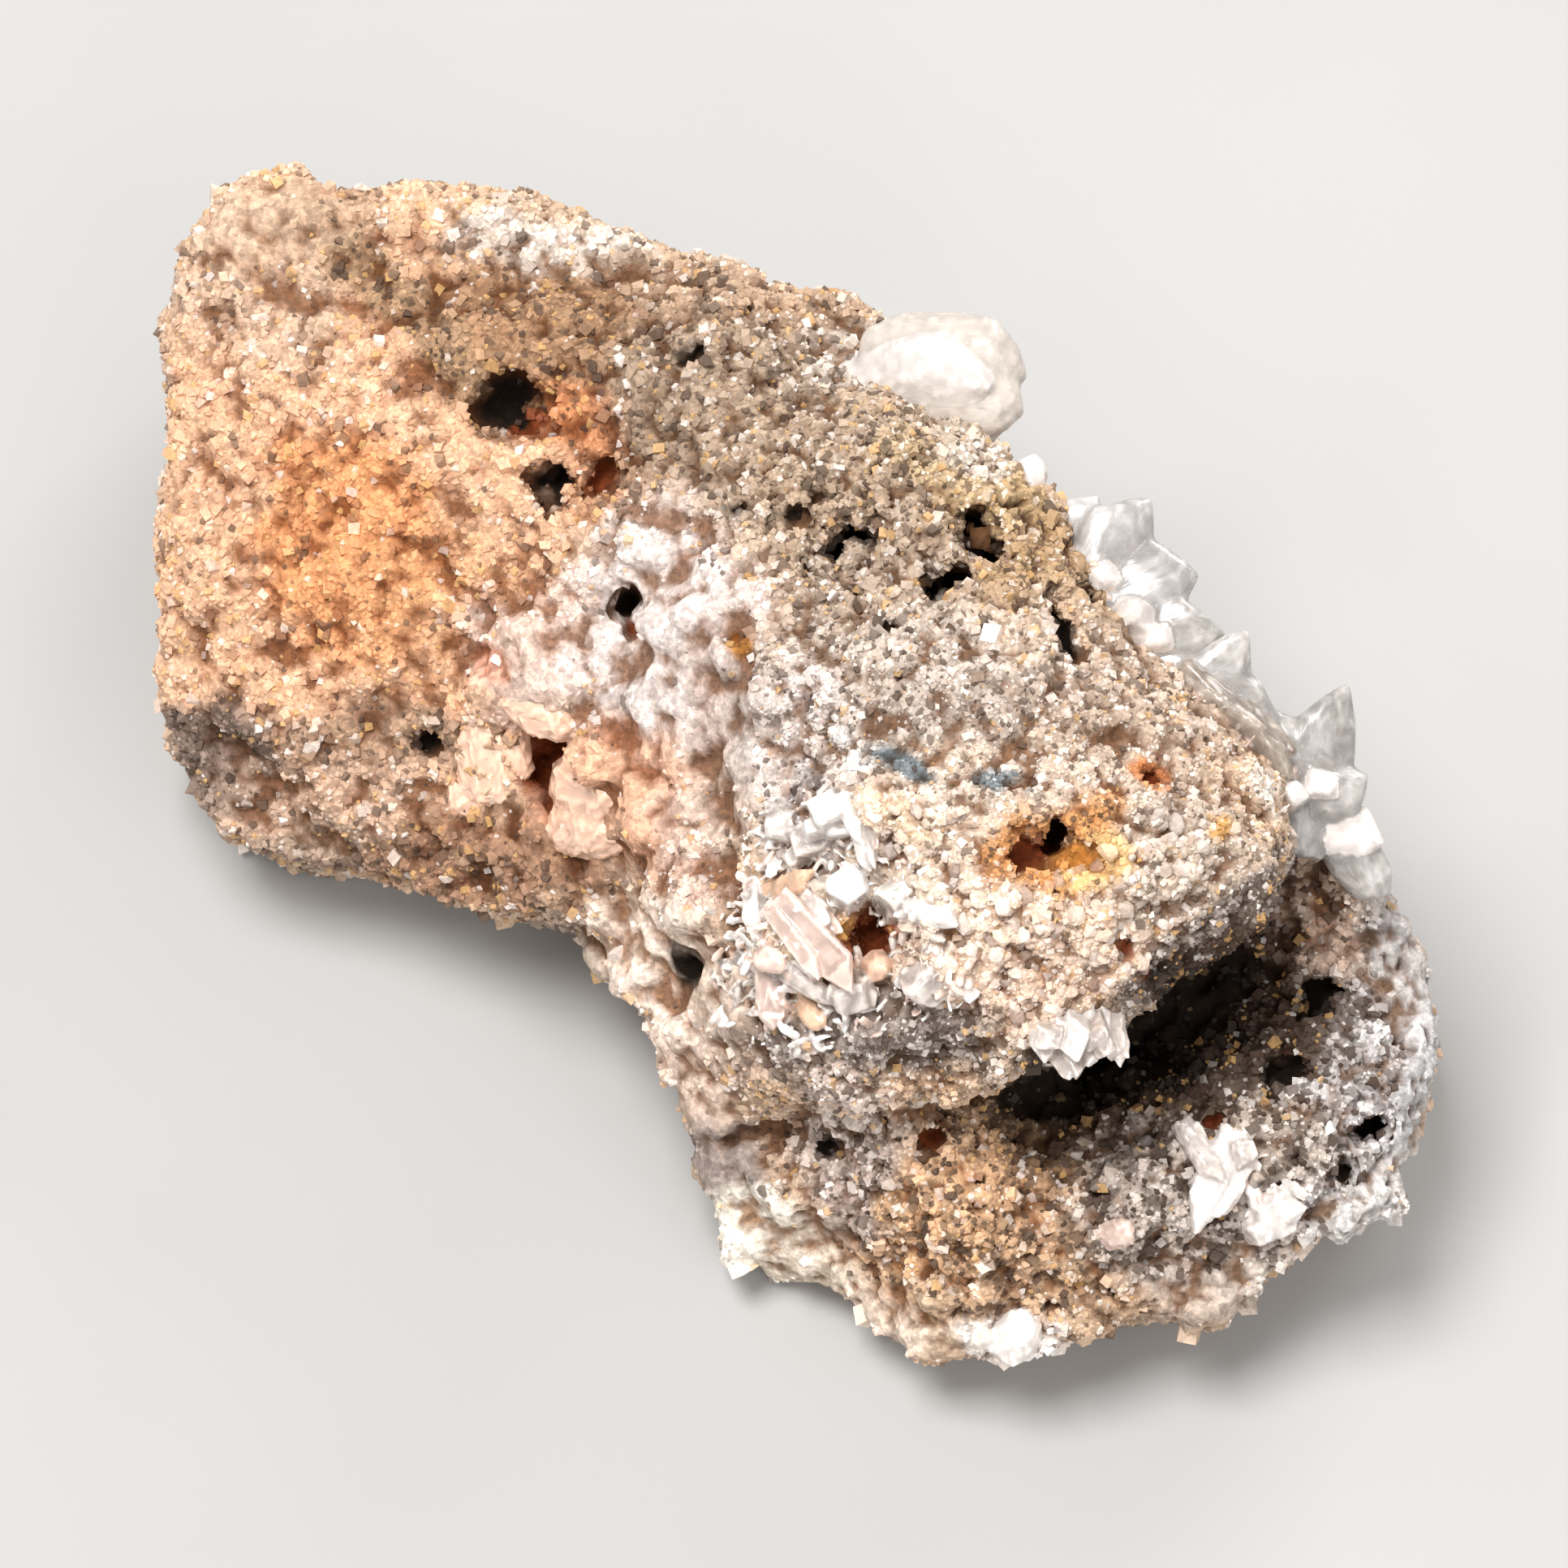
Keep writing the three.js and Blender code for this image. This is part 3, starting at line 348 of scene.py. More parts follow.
        ("lump", (-9.4, 0.0, -1.8), (-7.0, -0.6, -1.5), 3.4, 3.4, 20, PEACH),
        ("lump", (-9.6, -2.0, -1.9), (-7.2, -2.2, -1.6), 3.0, 3.0, 25, PEACH),
        ("lump", (-6.8, 0.4, -1.9), (-5.6, -1.8, -1.7), 2.6, 2.6, 25, PINK),
    ]),
}
# How each cluster has grown together: its finish, its mesh size, the passes that wear its edges,
# the most triangles, how many lesser crystals stand beside each listed one, and how uneven its
# faces are.
GROWTH = {
    "vug_blades": ("clear_barite", 0.085, 4, 60000, 2, 0.03),
    "lip_tuft": ("clear_barite", 0.06, 3, 18000, 2, 0.02),
    "top_knob": ("milky_barite", 0.14, 26, 14000, 0, 0.03),
    "shoulder_crystals": ("clear_barite", 0.1, 60, 24000, 1, 0.015),
    "spine_crystals": ("clear_barite", 0.09, 46, 26000, 1, 0.015),
    "foot_crystals": ("milky_barite", 0.1, 4, 20000, 1, 0.05),
    "side_slabs": ("pink_barite", 0.13, 30, 18000, 0, 0.14),
}
# Finishes of the barite: how clear it is, the share of that left in its clouds, and how many
# growth lines it has for each millimetre.
BARITES = {
    "clear_barite": ("barite_clear", 0.62, 0.45, 5.0),
    "milky_barite": ("barite_milky", 0.35, 0.3, 5.0),
    "pink_barite": ("barite_pink", 0.12, 0.3, 1.2),
}
BARITE_IOR = 1.64
FLECK_TINT = (0.95, 0.91, 0.87, 1.0)
ABSORPTION_TINT = (0.93, 0.85, 0.78, 1.0)
ROOT = 0.35  # share of a crystal's length that runs on into the rock


def octagon(side, top):
    """Corners of a square from -1 to 1 with its corners cut off."""
    upper = [(1, side), (top, 1), (-top, 1), (-1, side)]
    return upper + [(x, -y) for x, y in reversed(upper)]


# Cross-sections in half widths and half thicknesses, then rings: place along the axis, scale.
FORMS = {
    "blade": (
        [(1, 0), (0.68, 1), (-0.68, 1), (-1, 0), (-0.68, -1), (0.68, -1)],
        [(-ROOT, 0.85), (0.62, 1.0), (1.0, 0.3)],
    ),
    "plate": (octagon(0.4, 0.86), [(-ROOT, 0.88), (0.78, 1.0), (1.0, 0.55)]),
    "block": (octagon(0.84, 0.86), [(-ROOT, 0.95), (0.88, 1.0), (1.0, 0.8)]),
    "lump": (octagon(0.42, 0.42), [(-ROOT, 0.6), (0.0, 0.92), (0.45, 1.0), (0.8, 0.84), (1.0, 0.45)]),
}

# Where the rock is more or less crumbly and porous: place, half sizes, turn, crumbly, porous.
GROUND_ROUGH = 0.8
GROUND_POROUS = 0.3
ROUGHNESS = [
    ((-21, 13), (11, 16), 0, 0.55, 0.1),
    ((-4, 18), (7, 5), 0, 1.0, 0.6),
    ((7, 11), (9.5, 5.5), -15, 1.25, 1.0),
    ((10, -2), (11, 10), 0, 1.0, 0.5),
    ((-6, 0), (6, 14), 0, 0.3, 0.35),
    ((-1, -19), (5, 6), 0, 0.35, 0.2),
    ((14, -18), (15, 8), 0, 1.05, 0.8),
    ((25, -12), (6, 8), 0, 1.05, 0.8),
]

# Rounded nodules grown onto the rock: ovals of the face, spacing, smallest and largest in mm,
# and how deep they sit.
NODULE_TILT = 0.9  # radians
NODULES = [
    ([
        ((-5.6, 5.5), (3.6, 6.5), 0), ((-12, 5.4), (3, 2.6), 0), ((-8.5, -1.4), (4.4, 3.2), 0),
        ((-6.3, -8), (3.6, 3.4), 0), ((-2.6, -9.4), (1.8, 3.6), 0), ((-2.6, 2), (1.6, 5), 0),
        ((-4.2, -13.6), (1.8, 3.6), 22),
    ], 0.95, 0.8, 2.7, 0.16),
    ([
        ((-2.8, -17.5), (2.2, 3.2), 8), ((0.4, -21.6), (4.4, 2.4), -33), ((6.0, -24.8), (3.4, 1.6), -28),
        ((19.5, -23.6), (4.4, 1.3), 20), ((28.8, -9), (1.5, 5), 14), ((29.4, -14.5), (1.4, 4), -12),
        ((26.6, -19.6), (1.4, 3.6), -45), ((-24, 26), (4, 2), 10),
    ], 1.5, 1.4, 3.4, 0.36),
]

# Coats: the kind of grain, where it lies, its spacing, smallest and largest size in shares of the
# spacing, how deep it sits and how far it tilts. A coat lies on a named region of the rock, or on
# ovals of the face. A druse is fused into the cluster that it is named for.
COATS = {
    "grains_back_block": ("sand", "left", 0.27, 0.8, 2.1, 0.12, 3.2),
    "grains_flank": ("sand", "flank", 0.24, 0.8, 2.2, 0.12, 3.2),
    "grains_shoulder": ("sand", "shoulder", 0.215, 0.8, 2.4, 0.12, 3.2),
    "grains_front_block": ("sand", "front", 0.17, 0.8, 2.5, 0.12, 3.2),
    "grains_lower_block": ("sand", "lower", 0.235, 0.8, 2.2, 0.12, 3.2),
    "grains_reverse": ("sand", "reverse", 0.5, 0.8, 2.0, 0.12, 3.2),
    "grapes_front": ("nodules", [
        ((11.5, -7), (6.4, 3.6), 12), ((4.8, -1.6), (2.6, 1.3), 0), ((8.4, -4.6), (2.8, 1.8), 0),
        ((17.5, -3), (2.6, 1.8), 30),
    ], 0.42, 0.6, 2.0, 0.15, 1.6),
    "vug_blades": ("druse", [
        ((1.4, -2.6), (3.2, 2.8), 0), ((-0.4, -7.6), (2.8, 4.4), 0), ((5.2, -4.8), (3.2, 1.5), -5),
        ((5.8, -8.8), (3.4, 1.6), 0), ((2, -10.7), (3.4, 1.4), 0),
    ], 0.38, 0.8, 2.5, 0.0, 0.9),
    "shoulder_crystals": ("druse", [
        ((15.2, 8.2), (1.2, 2.8), 42), ((11.2, 13.6), (1.0, 1.0), 0),
    ], 0.4, 0.7, 1.9, 0.0, 0.8),
    "spine_crystals": ("druse", [
        ((20.6, 2.6), (3.0, 0.7), -38), ((23.8, -1.2), (2.2, 1.3), -30),
    ], 0.4, 0.7, 1.9, 0.0, 0.8),
    "foot_crystals": ("druse", [
        ((21, -18.4), (2.6, 1.8), -20),
    ], 0.55, 0.8, 2.2, 0.0, 0.8),
}

# Softboxes: place and size in metres, and share of the main light's power.
LIGHTS = {
    "softbox_main": ((-0.14, -0.02, 0.53), 0.25, 1.0),
    "softbox_fill": ((0.2, -0.4, 0.35), 0.4, 0.35),
    "softbox_rim": ((0.25, 0.4, 0.25), 0.25, 0.4),
}
LIGHT_TARGET = Vector((0, 0, 0.012))
STUDIO_COLOUR = (0.95, 0.94, 0.95, 1.0)
STUDIO_STRENGTH = 0.5
FLOOR_SIZE = 4.0  # metres
SENSOR_WIDTH = 36.0  # mm


# ---- Settings ----


class RockSettings(bpy.types.PropertyGroup):
    voxel: FloatProperty(
        name="Voxel", description="Mesh size of the rock, in millimetres", default=0.26, min=0.15, max=1.0
    )
    smoothing: IntProperty(
        name="Smoothing", description="Passes that round off the solid's facets", default=9, min=0, max=40
    )
    swell: FloatProperty(
        name="Swell", description="Height of the lumps, in millimetres", default=0.95, min=0.0, max=2.0
    )
    crumb: FloatProperty(
        name="Crumb", description="Height of the crumbs, in millimetres", default=0.75, min=0.0, max=1.5
    )
    pore: FloatProperty(
        name="Pore", description="Depth of the scattered pores, in millimetres", default=0.8, min=0.0, max=2.0
    )


class GrainSettings(bpy.types.PropertyGroup):
    warmth: FloatVectorProperty(
        name="Warmth", description="Tint over all the stone's colours", subtype="COLOR",
        default=(1.0, 0.99, 0.98),
    )
    size: FloatProperty(
        name="Size", description="Grain size as a share of the spacing", default=1.15, min=0.2, max=2.0
    )
    seed: IntProperty(name="Seed", description="Seed of the scatter", default=7, min=0)


class CrystalSettings(bpy.types.PropertyGroup):
    # Rim: the share by which standing-out crystal edges turn paler, a painted highlight.
    rim: FloatProperty(
        name="Rim", description="How far worn edges turn pale", default=0.4, min=0.0, max=1.0
    )
    chips: IntProperty(
        name="Chips", description="Cleaved corners on each crystal", default=3, min=0, max=6
    )
    absorption: FloatProperty(
        name="Absorption", description="Absorption inside clear barite, per metre", default=90.0, min=0.0
    )


class StageSettings(bpy.types.PropertyGroup):
    floor: FloatVectorProperty(
        name="Floor", description="Colour of the floor", subtype="COLOR", default=(0.42, 0.415, 0.405)
    )
    light: FloatProperty(
        name="Light", description="Power of the main softbox", default=3.7, min=0.0, unit="POWER"
    )


# ---- Node helpers ----


class Graph:
    """A node tree, with short ways to add nodes and to fill or link their sockets."""

    def __init__(self, tree):
        self.tree = tree

    def add(self, kind, inputs=None, **settings):
        """A node with its settings, and with its inputs set or linked."""
        node = self.tree.nodes.new(kind)
        for name, value in settings.items():
            setattr(node, name, value)
        for key, value in (inputs or {}).items():
            self.fill(self.socket(node, key), value)
        return node

    def socket(self, node, key):
        """A node's input by number, identifier or name."""
        if isinstance(key, int):
            return node.inputs[key]
        return next(s for s in node.inputs if key in (s.identifier, s.name) and s.enabled)

    def fill(self, socket, value):
        """Links an output, or a node's first one, to a socket, or sets the socket to a value."""
        if isinstance(value, bpy.types.NodeSocket):
            self.tree.links.new(value, socket)
        elif isinstance(value, bpy.types.Node):
            self.tree.links.new(next(o for o in value.outputs if o.enabled), socket)
        else:
            socket.default_value = value

    def math(self, operation, *values, clamp=False):
        node = self.add("ShaderNodeMath", operation=operation, use_clamp=clamp)
        for socket, value in zip(node.inputs, values):
            self.fill(socket, value)
        return node

    def noise(self, vector, scale, detail=2.0, roughness=0.5, distortion=0.0):
        return self.add("ShaderNodeTexNoise", {
            "Vector": vector, "Scale": scale, "Detail": detail, "Roughness": roughness,
            "Distortion": distortion,
        })

    def cells(self, vector, scale):
        return self.add("ShaderNodeTexVoronoi", {"Vector": vector, "Scale": scale})

    def random(self, low, high, seed, data_type="FLOAT"):
        values = {"Min": low, "Max": high, "Seed": seed}
        return self.add("FunctionNodeRandomValue", values, data_type=data_type)

    def ramp(self, value, low, high, to_low=0.0, to_high=1.0):
        """A value that goes softly from to_low at low to to_high at high."""
        return self.add(
            "ShaderNodeMapRange",
            {"Value": value, "From Min": low, "From Max": high, "To Min": to_low, "To Max": to_high},
            interpolation_type="SMOOTHSTEP",
        )

    def mix(self, factor, a, b, blend="MIX"):
        node = self.add("ShaderNodeMix", data_type="RGBA", blend_type=blend)
        self.fill(self.socket(node, "Factor_Float"), factor)
        self.fill(self.socket(node, "A_Color"), a)
        self.fill(self.socket(node, "B_Color"), b)
        return next(o for o in node.outputs if o.type == "RGBA")


def geometry_graph(name, sizes):
    """A Geometry Nodes tree with a geometry in and out and the named inputs, and its two ends."""
    tree = bpy.data.node_groups.new(name, "GeometryNodeTree")
    tree.interface.new_socket("Geometry", in_out="INPUT", socket_type="NodeSocketGeometry")
    tree.interface.new_socket("Geometry", in_out="OUTPUT", socket_type="NodeSocketGeometry")
    for label, kind in sizes:
        tree.interface.new_socket(label, in_out="INPUT", socket_type="NodeSocket" + kind)
    graph = Graph(tree)
    entry = graph.add("NodeGroupInput")
    return graph, entry, graph.add("NodeGroupOutput")


def finished_tree(graph, entry, end, shape):
    """Ends a tree: the shape made one real mesh in the tree's Finish."""
    whole = graph.add("GeometryNodeRealizeInstances", {"Geometry": shape})
    values = {"Geometry": whole, "Material": entry.outputs["Finish"]}
    graph.fill(end.inputs["Geometry"], graph.add("GeometryNodeSetMaterial", values))
    return graph.tree


def run_nodes(obj, tree, values):
    """A new mesh: the object's own after a Geometry Nodes tree with these inputs."""
    modifier = obj.modifiers.new(tree.name, "NODES")
    modifier.node_group = tree
    for item in tree.interface.items_tree:
        if item.in_out == "INPUT" and item.name in values:
            modifier[item.identifier] = values[item.name]
    evaluated = obj.evaluated_get(bpy.context.evaluated_depsgraph_get())
    mesh = bpy.data.meshes.new_from_object(evaluated)
    obj.modifiers.remove(modifier)
    return mesh


def applied(obj):
    """The object's mesh with its modifiers applied; the object is removed."""
    mesh = bpy.data.meshes.new_from_object(obj.evaluated_get(bpy.context.evaluated_depsgraph_get()))
    bpy.data.objects.remove(obj)
    return mesh


def shown(name, mesh):
    """An object of the scene with this mesh."""
    obj = bpy.data.objects.new(name, mesh)
    bpy.context.scene.collection.objects.link(obj)
    return obj


# ---- Number helpers ----


def read(items, name, width=1, kind=np.float32):
    """One property of all items as an array, with a row for each where it is wider than 1."""
    flat = np.empty(len(items) * width, dtype=kind)
    items.foreach_get(name, flat)
    return flat.reshape(-1, width) if width > 1 else flat


def points_of(mesh):
    return read(mesh.vertices, "co", 3).astype(float)


def normals_of(mesh):
    return read(mesh.vertex_normals, "vector", 3).astype(float)


def values_of(mesh, name):
    return read(mesh.attributes[name].data, "value").astype(float)


def centres_of(mesh):
    """The centre of the grain that each point of a coat belongs to."""
    return read(mesh.attributes["centre"].data, "vector", 3).astype(float)


def set_points(mesh, points):
    mesh.vertices.foreach_set("co", points.astype(np.float32).ravel())
    mesh.update()


def add_floats(mesh, **values):
    """Writes a number for each point under each of the names."""
    for name, data in values.items():
        layer = mesh.attributes.new(name, "FLOAT", "POINT")
        layer.data.foreach_set("value", data.astype(np.float32))


def drop_attributes(mesh, *names):
    for name in names:
        if name in mesh.attributes:
            mesh.attributes.remove(mesh.attributes[name])


def moved(points, matrix):
    """Points taken through a 4 x 4 matrix."""
    m = np.array(matrix)
    return points @ m[:3, :3].T + m[:3, 3]


def chance(points, salt):
    """A number from 0 to 1 for each point, the same on every run."""
    value = np.sin(points @ np.array([12.9898, 78.233, 37.719]) + salt * 4.137) * 43758.5453
    return value - np.floor(value)


def smooth(low, high, value):
    """0 up to low and 1 from high on, with a soft rise between."""
    t = np.clip((value - low) / (high - low), 0, 1)
    return t * t * (3 - 2 * t)


def wave_noise(points, size, salt):
    """Soft irregular waves from -1 to 1 with the given size."""
    total = np.zeros(len(points))
    draw = np.random.default_rng(salt)
    for _ in range(7):
        direction = draw.normal(size=3)
        direction /= np.linalg.norm(direction)
        pace = 2 * math.pi / size * draw.uniform(0.7, 1.5)
        total += np.sin(points @ direction * pace + draw.uniform(0, 6.28))
    return total / 3.2


def standing_out(mesh, reach):
    """How far each point of a mesh stands out from its surroundings, in the mesh's own unit."""
    start = points_of(mesh)
    ends = read(mesh.edges, "vertices", 2, np.int32)
    here, there = np.concatenate([ends, ends[:, ::-1]]).T
    count = np.bincount(here, minlength=len(start))
    points = start
    for _ in range(reach):
        near = [np.bincount(here, weights=points[there, i], minlength=len(start)) for i in range(3)]
        points = np.stack(near, axis=1) / np.maximum(count, 1)[:, None]
    return ((start - points) * normals_of(mesh)).sum(axis=1)


def oval(points, at, half, turn):
    """Distance from a turned oval's centre on the face, 1 on its edge."""
    a = math.radians(turn)
    du = points[:, 0] - at[0]
    dv = points[:, 1] - at[1]
    x = (du * math.cos(a) + dv * math.sin(a)) / half[0]
    y = (-du * math.sin(a) + dv * math.cos(a)) / half[1]
    return np.sqrt(x * x + y * y)


def stone_colours(points, hidden):
    """Colour, with the hollow's painted shade, and the shares of pale and of dark grains, at points in the
    face frame.
    """
    colour = np.tile(np.array(GROUND_TINT), (len(points), 1))
    dusty = 0.75 * hidden * smooth(-0.1, 0.7, wave_noise(points, 6, 12))
    colour += dusty[:, None] * (np.array(DUST_TINT) - colour)
    pale = np.full(len(points), GROUND_PALE)
    dark = np.full(len(points), GROUND_DARK)
    # The patches' edges wander, less so on small ones.
    warped = points.copy()
    warped[:, 0] += 0.5 * wave_noise(points, 3.1, 3) + 0.9 * wave_noise(points, 9, 4)
    warped[:, 1] += 0.5 * wave_noise(points, 3.3, 5) + 0.9 * wave_noise(points, 8, 6)
    for at, half, turn, tint, share, pale_share, dark_share in PATCHES:
        spread = min(1.0, min(half) / 2.2)
        place = points + (warped - points) * spread
        weight = share * (1 - smooth(0.72, 1.28, oval(place, at, half, turn)))
        # The hollow's painted shade stays on the hidden walls; all other patches fade out there.
        if max(tint) > SHADE_BELOW:
            weight *= 1 - hidden
        colour += weight[:, None] * (np.array(tint) - colour)
        pale += weight * (pale_share - pale)
        dark += weight * (dark_share - dark)
    stained = smooth(0.05, 0.45, wave_noise(points, 1.3, 13)) * smooth(0.3, 0.42, dark)
    colour += 0.78 * stained[:, None] * (np.array(STAIN_TINT) - colour)
    return colour * np.array(bpy.context.scene.cluster_grains.warmth), pale, dark


def crevice_shade(raised, top):
    """Share of the colour left from warm dark crevices to crests, a row for each point."""
    low = np.array(CREVICE_SHADE)
    return low + smooth(-0.17, 0.08, raised)[:, None] * (top - low)


def pit_depths(points, face_depth):
    """How far inside a pit each point lies, and the pit's colour: its rust or ochre stain, or black painted
    shade.
    """
    inside = np.zeros(len(points))
    colour = np.tile(np.array(SHADE_BLACK), (len(points), 1))
    for at, half, deep, turn, tint in PITS:
        near = 1 - smooth(0.85, 1.25, oval(points, at, half, turn))
        below = smooth(0.1, 0.9, (face_depth(at) - points[:, 2]) / deep)
        weight = near * below
        more = weight > inside
        inside = np.where(more, weight, inside)
        colour[more] = tint
    return inside, colour


def store_tint(mesh, colour, gloss):
    """Writes a colour and a gloss for each point onto the faces' corners."""
    layer = mesh.color_attributes.new("tint", "FLOAT_COLOR", "CORNER")
    values = np.concatenate([np.clip(colour, 0, 1), gloss[:, None]], axis=1).astype(np.float32)
    corners = read(mesh.loops, "vertex_index", kind=np.int32)
    layer.data.foreach_set("color", values[corners].ravel())


# ---- The solid's surface ----


def cad_copy(node):
    """A node's mesh in the face frame, with its doubles merged."""
    mesh = frame["nodes"][node].data.copy()
    mesh.transform(TO_FACE)
    bm = bmesh.new()
    bm.from_mesh(mesh)
    bmesh.ops.remove_doubles(bm, verts=bm.verts, dist=0.002)
    bm.to_mesh(mesh)
    bm.free()
    mesh.materials.clear()
    return mesh


class Face:
    """Depth of the solid rock's face, as if its pits were filled."""

    def __init__(self, mesh):
        bm = bmesh.new()
        bm.from_mesh(mesh)
        self.tree = BVHTree.FromBMesh(bm)
        bm.free()

    def ray(self, u, v):
        """Depth of the surface itself at a place, pits and all; BACKDROP off its edge."""
        hit = self.tree.ray_cast(Vector((u, v, 100)), Vector((0, 0, -1)))[0]
        return hit.z if hit else BACKDROP

    def depth(self, at):
        """Depth at a place; in and near a large pit, the middle one of the depths round it."""
        u, v = at[0], at[1]
        for centre, half, _, turn, _ in PITS:
            if max(half) > 1 and oval(np.array([[u, v, 0.0]]), centre, half, turn)[0] < 1.5:
                reach = max(half) * 1.7
                round_it = [
                    self.ray(centre[0] + reach * math.cos(a), centre[1] + reach * math.sin(a))
                    for a in (i * math.pi / 4 for i in range(8))
                ]
                return float(np.median(round_it))
        return self.ray(u, v)

    def hidden(self, points):
        """Share, from 0 to 1, that each point lies on a side or the back, and not on the display face."""
        spots, number = np.unique(np.round(points, 1), axis=0, return_inverse=True)
        facing = np.array([self.tree.find_nearest(Vector(spot))[1].z for spot in spots])
        reach = np.maximum(np.hypot(spots[:, 0], spots[:, 1]), 3.0)
        inner = spots[:, :2] * (1 - 3.0 / reach)[:, None]
        below = np.array([self.ray(*spot) for spot in inner]) - spots[:, 2]
        below += 1.5 * wave_noise(spots, 4, 11)
        return ((1 - smooth(0.15, 0.6, facing)) * smooth(1.5, 6.0, below))[number.ravel()]


def relief_tree():
    """Lumps, crumbs and pores pushed out of or into a surface along its normals."""
    sizes = [("Swell", "Float"), ("Crumb", "Float"), ("Pore", "Float"), ("Finish", "Material")]
    graph, entry, end = geometry_graph("Crumbly relief", sizes)
    place = graph.add("GeometryNodeInputPosition")
    rough = graph.add("GeometryNodeInputNamedAttribute", {"Name": "rough"}, data_type="FLOAT")
    porous = graph.add("GeometryNodeInputNamedAttribute", {"Name": "porous"}, data_type="FLOAT")
    swell = graph.math("SUBTRACT", graph.noise(place, 0.3, 3.0, 0.55), 0.5)
    crumbs = graph.math("SUBTRACT", 0.42, graph.cells(place, 0.85).outputs["Distance"])
    small = graph.math("SUBTRACT", 0.42, graph.cells(place, 2.0).outputs["Distance"])
    raised = graph.math("MULTIPLY_ADD", small, 0.45, crumbs)
    swell = graph.math("MULTIPLY", swell, graph.math("MULTIPLY", entry.outputs["Swell"], 2.2))
    crumb = graph.math("MULTIPLY", raised, graph.math("MULTIPLY", entry.outputs["Crumb"], rough))
    threshold = graph.math("SUBTRACT", 0.78, graph.math("MULTIPLY", porous, 0.22))
    excess = graph.math("SUBTRACT", graph.noise(place, 0.95, 3.0, 0.6, 0.4), threshold)
    pore = graph.math("MULTIPLY", excess, 14.0, clamp=True)
    hollow = graph.math("MULTIPLY", pore, entry.outputs["Pore"])
    height = graph.math("SUBTRACT", graph.math("ADD", swell, crumb), hollow)
    normal = graph.add("GeometryNodeInputNormal")
    offset = graph.add("ShaderNodeVectorMath", {0: normal, "Scale": height}, operation="SCALE")
    body = graph.add("GeometryNodeStoreNamedAttribute", {"Name": "pore", "Value": pore}, data_type="FLOAT")
    graph.fill(body.inputs["Geometry"], entry.outputs["Geometry"])
    crumbled = graph.add("GeometryNodeSetPosition", {"Geometry": body, "Offset": offset})
    return finished_tree(graph, entry, end, crumbled)


def coat_tree():
    """Grains picked from a collection, strewn over a surface and made one mesh."""
    sizes = [
        ("Spacing", "Float"), ("Density", "Float"), ("Smallest", "Float"), ("Largest", "Float"),
        ("Sink", "Float"), ("Tilt", "Float"), ("Seed", "Int"), ("Kinds", "Collection"),
        ("Finish", "Material"),
    ]
    graph, entry, end = geometry_graph("Grain coat", sizes)
    field = entry.outputs
    share = graph.add("GeometryNodeInputNamedAttribute", {"Name": "coat"}, data_type="FLOAT")
    points = graph.add(
        "GeometryNodeDistributePointsOnFaces", {
            "Mesh": field["Geometry"], "Distance Min": field["Spacing"], "Density Max": field["Density"],
            "Density Factor": share, "Seed": field["Seed"],
        }, distribute_method="POISSON",
    )
    kinds = graph.add(
        "GeometryNodeCollectionInfo",
        {"Collection": field["Kinds"], "Separate Children": True, "Reset Children": True},
    )
    tilt = field["Tilt"]
    back = graph.math("MULTIPLY", tilt, -1.0)
    low = graph.add("ShaderNodeCombineXYZ", {"X": back, "Y": back, "Z": -math.pi})
    high = graph.add("ShaderNodeCombineXYZ", {"X": tilt, "Y": tilt, "Z": math.pi})
    turn = graph.random(low, high, field["Seed"], "FLOAT_VECTOR")
    spin = graph.add("FunctionNodeEulerToRotation", {"Euler": turn})
    rotation = graph.add(
        "FunctionNodeRotateRotation", {"Rotation": points.outputs["Rotation"], "Rotate By": spin},
        rotation_space="LOCAL",
    )
    draw = graph.random(0.0, 1.0, graph.math("ADD", field["Seed"], 5.0))
    size = graph.add(
        "ShaderNodeMapRange", {
            "Value": graph.math("POWER", draw, 2.2), "To Min": field["Smallest"], "To Max": field["Largest"],
        },
    )
    stretch = graph.random((0.75, 0.75, 0.75), (1.3, 1.3, 1.3), 11, "FLOAT_VECTOR")
    scale = graph.add("ShaderNodeVectorMath", {0: stretch, "Scale": size}, operation="SCALE")
    sink = graph.math("MULTIPLY", size, graph.math("MULTIPLY", field["Sink"], -1.0))
    offset = graph.add(
        "ShaderNodeVectorMath", {0: points.outputs["Normal"], "Scale": sink}, operation="SCALE"
    )
    sunk = graph.add("GeometryNodeSetPosition", {"Geometry": points.outputs["Points"], "Offset": offset})
    instances = graph.add(
        "GeometryNodeInstanceOnPoints", {
            "Points": sunk, "Instance": kinds, "Pick Instance": True, "Rotation": rotation, "Scale": scale,
            "Instance Index": graph.random(0, 99, field["Seed"], "INT"),
        },
    )
    centre = graph.add("GeometryNodeInputPosition")
    named = graph.add(
        "GeometryNodeStoreNamedAttribute", {"Name": "centre", "Value": centre},
        data_type="FLOAT_VECTOR", domain="INSTANCE",
    )
    graph.fill(named.inputs["Geometry"], instances)
    return finished_tree(graph, entry, end, named)


def strewn(work, kind, share, spacing, smallest, largest, sink, tilt, seed, finish=None):
    """Shapes of one kind strewn over a piece, as a mesh; sizes in millimetres."""
    if "coat" not in work.data.attributes:
        work.data.attributes.new("coat", "FLOAT", "POINT")
    work.data.attributes["coat"].data.foreach_set("value", share.astype(np.float32))
    work.data.update()
    mesh = run_nodes(work, coat_tree(), {
        "Spacing": spacing, "Density": 4.0 / spacing**2, "Smallest": smallest, "Largest": largest,
        "Sink": sink, "Tilt": tilt, "Seed": seed, "Kinds": grain_kinds(kind), "Finish": finish,
    })
    only_finish(mesh, finish)
    return mesh


